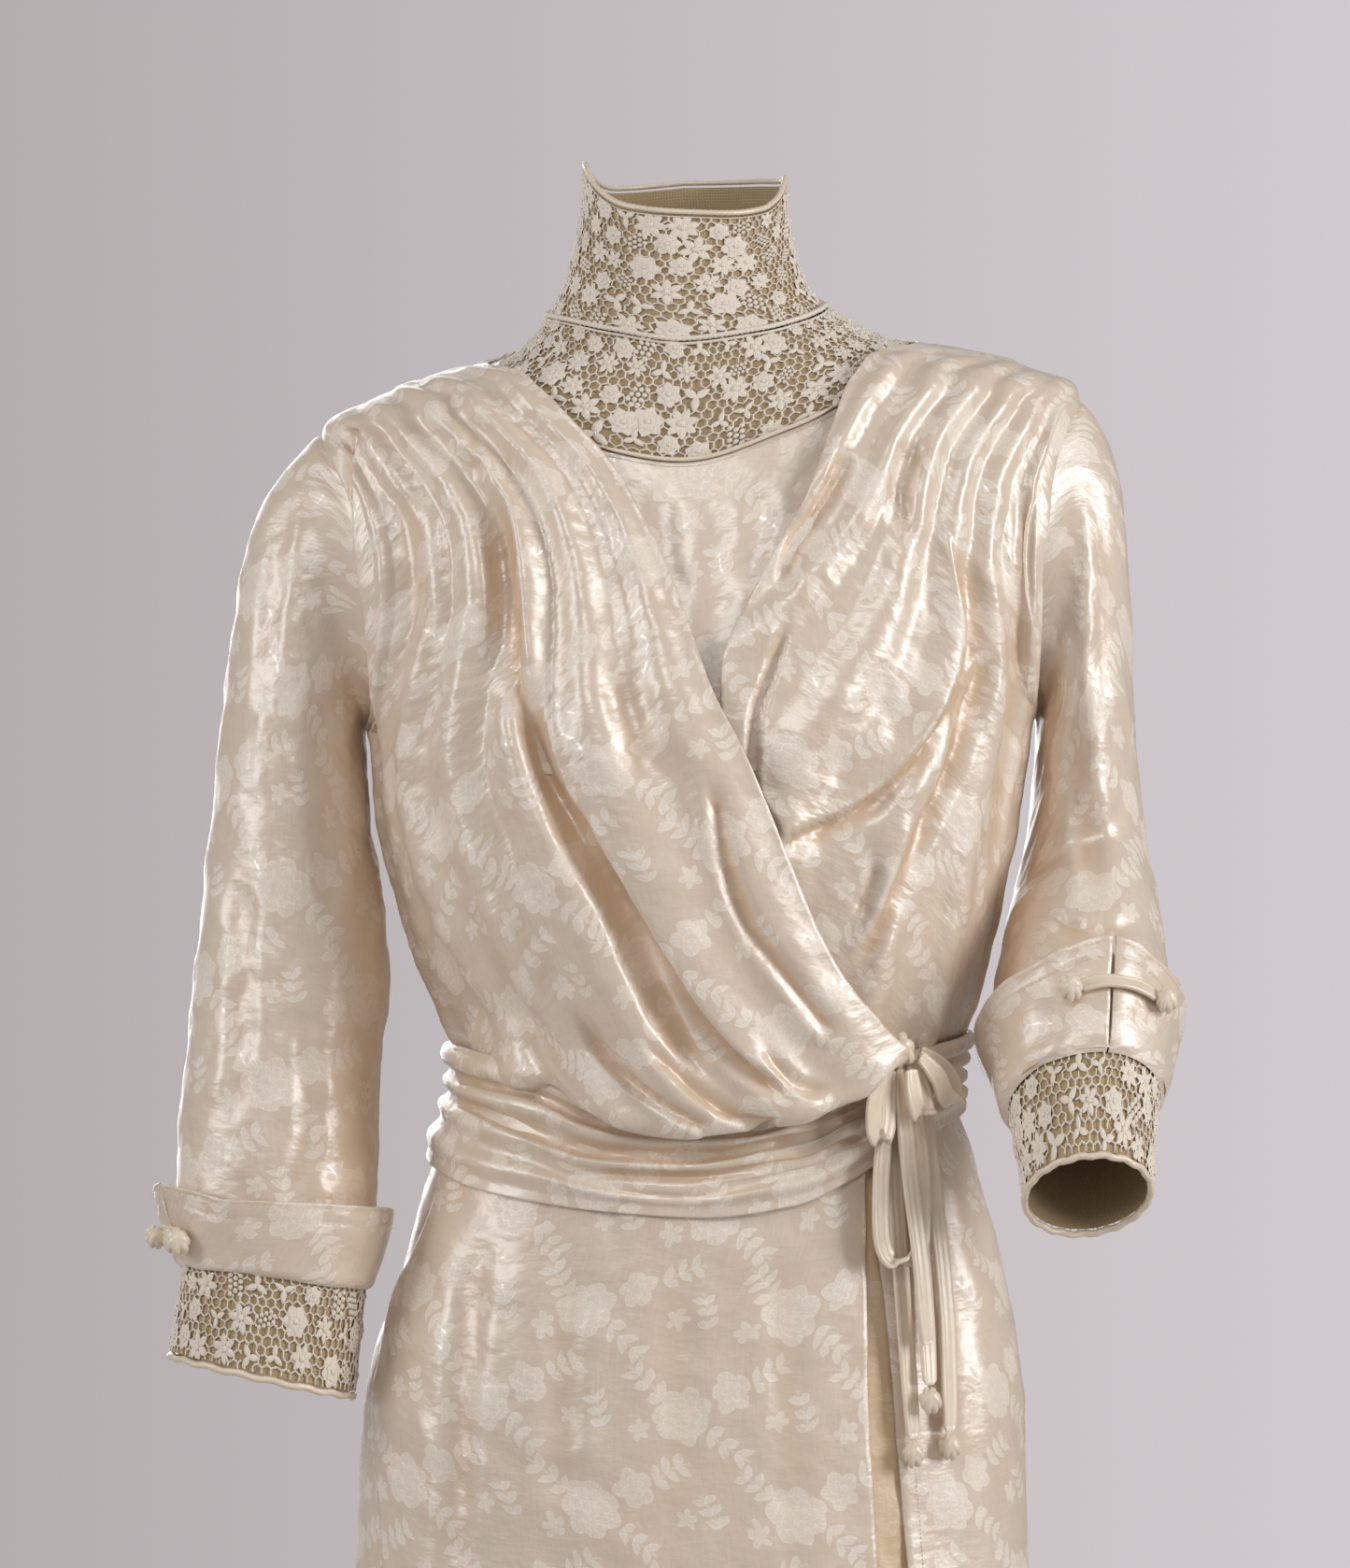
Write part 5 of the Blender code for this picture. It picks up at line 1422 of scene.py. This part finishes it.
# Each knotted button's place round and down its cuff, and its radius
BUTTONS = {"right": [(0.035, 0.62, 8.0), (0.975, 0.60, 6.5)],
           "left": [(0.060, 0.50, 7.0), (0.915, 0.45, 6.5)]}
STRAP_THICK, STRAP_WIDTH = 3.2, 8.0
for side in HANDS:
    for index in (1, 2):
        wound_knot(f"{side}_knotted_button_{index}", f"knot_button_{side}_{index}", 4, 70 + index)
    (first_u, first_v, first_radius), (last_u, last_v, last_radius) = BUTTONS[side]
    reach = first_u + 1 - last_u
    girth = 2 * math.pi * (float(ARMS[side].at(CUFF_SPAN[side][0]).half_depth) + CUFF_LAYER)
    along = np.linspace(0.55 * first_radius / girth, reach - 0.55 * last_radius / girth, 30)
    u = np.where(along < first_u, first_u - along, 1 - (along - first_u))
    path = cuff_place(side, SILK + 2.4)(u, blend(first_v, last_v, along / reach))
    pitch = math.radians(float(ARMS[side].at(blend(*CUFF_SPAN[side], 0.5)).pitch))
    ribbon(f"{side}_strap", [f"cuff_strap_{side}"], path, np.array([0, -math.sin(pitch), -math.cos(pitch)]),
           STRAP_THICK, STRAP_WIDTH)


# Sash and bow

def sash_shape(grid, u, v, across, down):
    height, trough = creased(SASH_CREASES, 81, 0.35)(grid, u, v, across, down)
    x = grid[..., 0]
    # Its top edge is rolled outwards where the blouse goes down inside it
    outer = soft((-86 - x) / 14) + soft((x - 84) / 12)
    return height + 4.0 * np.exp(-((v - 0.10) / 0.10) ** 2) * outer, trough


make_cloth("front_sash", ["sash_front"], sash_place("front"), 260, 70, DAMASK,
           ["top", "bottom", "start", "end"],
           shape=sash_shape)
make_cloth("back_sash", ["sash_back"], sash_place("back"), 180, 50, DAMASK,
           ["top", "bottom", "start", "end"], shape=back_shape)

TIE_WIDTH, TIE_THICK, BOW_FACES = 11.0, 3.4, math.radians(40)
# The places that each tie passes: x and z in the front view, and how far it stands out from the figure
TIES = {
    "loop_short": "97 -368 30, 92 -385 31, 91 -402 30, 95 -412 27, 99 -402 25, 99 -385 25, 100 -370 25",
    "loop_front": "111 -369 32, 113 -384 34, 116 -399 33, 120 -399 30, 118 -383 27, 112 -367 25",
    "loop_outer": """116.3 -362 30, 126 -374 33, 132 -392 32, 137 -395 29, 136 -382 26, 127 -370 24,
        116.3 -361 23""",
    "loop_long": """99 -371 19, 97 -410 19, 95 -445 18, 96 -466 17, 103 -476 16.5, 112 -475 16.5,
        118 -464 17, 118 -435 18, 114 -400 19, 110 -372 19""",
    "loop_folded": "106 -369.4 22.5, 108 -400 22.4, 112 -440 22.1, 117 -480 22, 120 -521 20",
    "tail_inner": "101 -369 13.8, 102 -410 13.8, 105 -460 10, 109 -515 8.3, 113 -570 7.6",
    "tail_middle": "108.7 -371 13.8, 110.7 -410 13.8, 115.7 -450 11, 119.7 -500 11, 121.7 -542 15",
    "tail_outer": "118 -369 13.8, 121 -410 13.8, 127 -460 10, 132 -515 8.2, 133 -568 7.8",
}
across_bow = np.array([math.cos(BOW_FACES), math.sin(BOW_FACES), 0])
for index, (name, places) in enumerate(TIES.items()):
    # The places are smoothed on the same rows as the solids, then drawn finer
    places = [on_front(*map(float, place.split())) for place in places.split(",")]
    coarse = line_through(places, round(1.6 * len(places)) + 1)
    ribbon(f"satin_{name}", [f"tie_{name}"], line_through(coarse, 12 * len(places)), across_bow, TIE_THICK,
           TIE_WIDTH, (0.75, 0.75 if "loop" in name else 0.85), 90 + index)
wound_knot("satin_bow_knot", "bow_knot", 3, 101)
for index, tail in enumerate(("inner", "middle", "outer")):
    wound_knot(f"satin_tail_knot_{tail}", f"tie_knot_tail_{tail}", 4, 110 + index)


# Skirt

back_start, back_end = opening_edge("back_x"), opening_edge("front_left_x", UNDERLAP_REACH, 360)
make_cloth("skirt_front_panel", ["skirt_front"],
           skirt_place(opening_edge("front_left_x"), opening_edge("front_right_x"), PANEL_LAYER),
           120, 200, DAMASK, ["start", "end", "bottom"],
           shape=creased(SKIRT_CREASES, 121, 0.6))
make_cloth("skirt_back_panel", ["skirt_back"], skirt_place(back_start, back_end, 0.0),
           180, 160, DAMASK,
           ["start", "end", "bottom"], shape=creased(SIDE_CREASES, 131, 0.6))
# The underlap wears the darker copy of the damask: painted shade
underlap = skirt_place(opening_edge("front_right_x", -UNDERLAP_REACH), opening_edge("back_x", UNDERLAP_REACH),
                       UNDERLAP_LAYER)
make_cloth("skirt_underlap_panel", ["skirt_underlap"], underlap, 24, 130, UNDERLAP_DAMASK_IN_PAINTED_SHADE,
           ["start", "end", "bottom"],
           shape=creased("", 141, 0.4))


def beside_opening(share):
    edge = skirt_place(back_start, back_end, SILK / 2 + 0.1)
    return edge(np.full((1, 1), 0.011), np.clip(share, 0, 1)[:, None])[:, 0]


stitch_row("skirt_edge_stitches", [(beside_opening, 420, 1.6, 0.25)], SATIN)


# Camera, floor and light

def look_from(item, place, target):
    item.location = place
    item.rotation_euler = (Vector(target) - Vector(place)).to_track_quat("-Z", "Y").to_euler()
    bpy.context.scene.collection.objects.link(item)


FAR, RAISED, TALL, SENSOR = 3.0, math.radians(3), 0.8605, 24.0
target = Vector((-0.0141, 0.0, -0.2251))
camera = bpy.data.objects.new("camera", bpy.data.cameras.new("camera"))
camera.data.sensor_width = SENSOR
camera.data.lens = SENSOR * FAR / TALL
look_from(camera, target + Vector((0, -FAR * math.cos(RAISED), FAR * math.sin(RAISED))), target)
bpy.context.scene.camera = camera

# A round pale floor under the gown, and behind it all round a plain backdrop that glows, with painted light
# that grows from darker at the left to lighter at the right
paper, add = new_finish("matt_studio_paper")
grain = add("TexNoise", add("NewGeometry", out="Position"), Scale=3.0, Detail=1.0)
paper_colour = add("Mix", grain, sockets={6: "#C9C4C4", 7: "#C4BFBF"}, **MIX)
add("OutputMaterial", add("BsdfPrincipled", Base_Color=paper_colour, Roughness=0.95))
glowing_backdrop_paper, add = new_finish("painted_light_backdrop_paper")
# Painted light: the backdrop's glow is darker at the left and lighter at the right
side_on = add("SeparateXYZ", add("NewGeometry", out="Position"), out="X")
paper_colour = add("Mix", add("MapRange", side_on, -5.0, 5.0, 0.0, 1.0), sockets={6: "#B1AAAB", 7: "#D4CED2"},
                   **MIX)
add("OutputMaterial", add("Emission", paper_colour, 1.0))


def stage_of_rings(name, profile, finish, columns=97):
    """A surface of rings round the gown, from pairs of radius and height in metres."""
    around = np.linspace(0, 2 * np.pi, columns)
    out, up = np.array(profile).T[:, :, None]
    rings = points(out * np.cos(around), out * np.sin(around), up)
    mesh = bpy.data.meshes.new(name)
    mesh.from_pydata(rings.reshape(-1, 3), [], grid_faces(len(profile), columns))
    mesh.shade_smooth()
    mesh.materials.append(finish)
    item = bpy.data.objects.new(name, mesh)
    bpy.context.scene.collection.objects.link(item)
    return item


FLOOR, FLOOR_REACH, BACKDROP_REACH = cad_box[0][2] - 0.004, 2.0, 30.0
stage_of_rings("studio_floor", [(0.01, FLOOR), (1.0, FLOOR), (FLOOR_REACH, FLOOR)], paper)
arc = np.radians(np.linspace(-89.9, 89.9, 40))
dome = BACKDROP_REACH * np.stack([np.cos(arc), np.sin(arc)], axis=-1)
backdrop = stage_of_rings("studio_backdrop", dome, glowing_backdrop_paper)
# The backdrop is only seen: the lamps and the soft light all round do the lighting
backdrop.visible_diffuse = backdrop.visible_glossy = backdrop.visible_shadow = False

LAMP_TARGET = (0, 0, -0.2)
for name, place, size, watts in (
        ("left_softbox", (-2.6, -1.2, 0.6), (0.9, 1.8), 27),
        ("right_softbox", (2.4, -1.2, 0.4), (0.8, 1.8), 46),
        ("key_softbox", (-0.5, -2.3, 1.2), (0.9, 0.7), 14),
        ("back_softbox", (-0.7, 2.7, 0.0), (1.6, 1.8), 34)):
    lamp = bpy.data.lights.new(name, "AREA")
    lamp.shape, lamp.size, lamp.size_y, lamp.energy = "RECTANGLE", *size, watts
    light = bpy.data.objects.new(name, lamp)
    light.visible_camera = False
    look_from(light, place, LAMP_TARGET)
world = bpy.data.worlds.new("studio")
world.use_nodes = True
sky = world.node_tree.nodes["Background"].inputs
sky["Color"].default_value = hex_colour("#E9E6E4")
sky["Strength"].default_value = 0.34
bpy.context.scene.world = world
bpy.context.scene.view_settings.view_transform = "Standard"
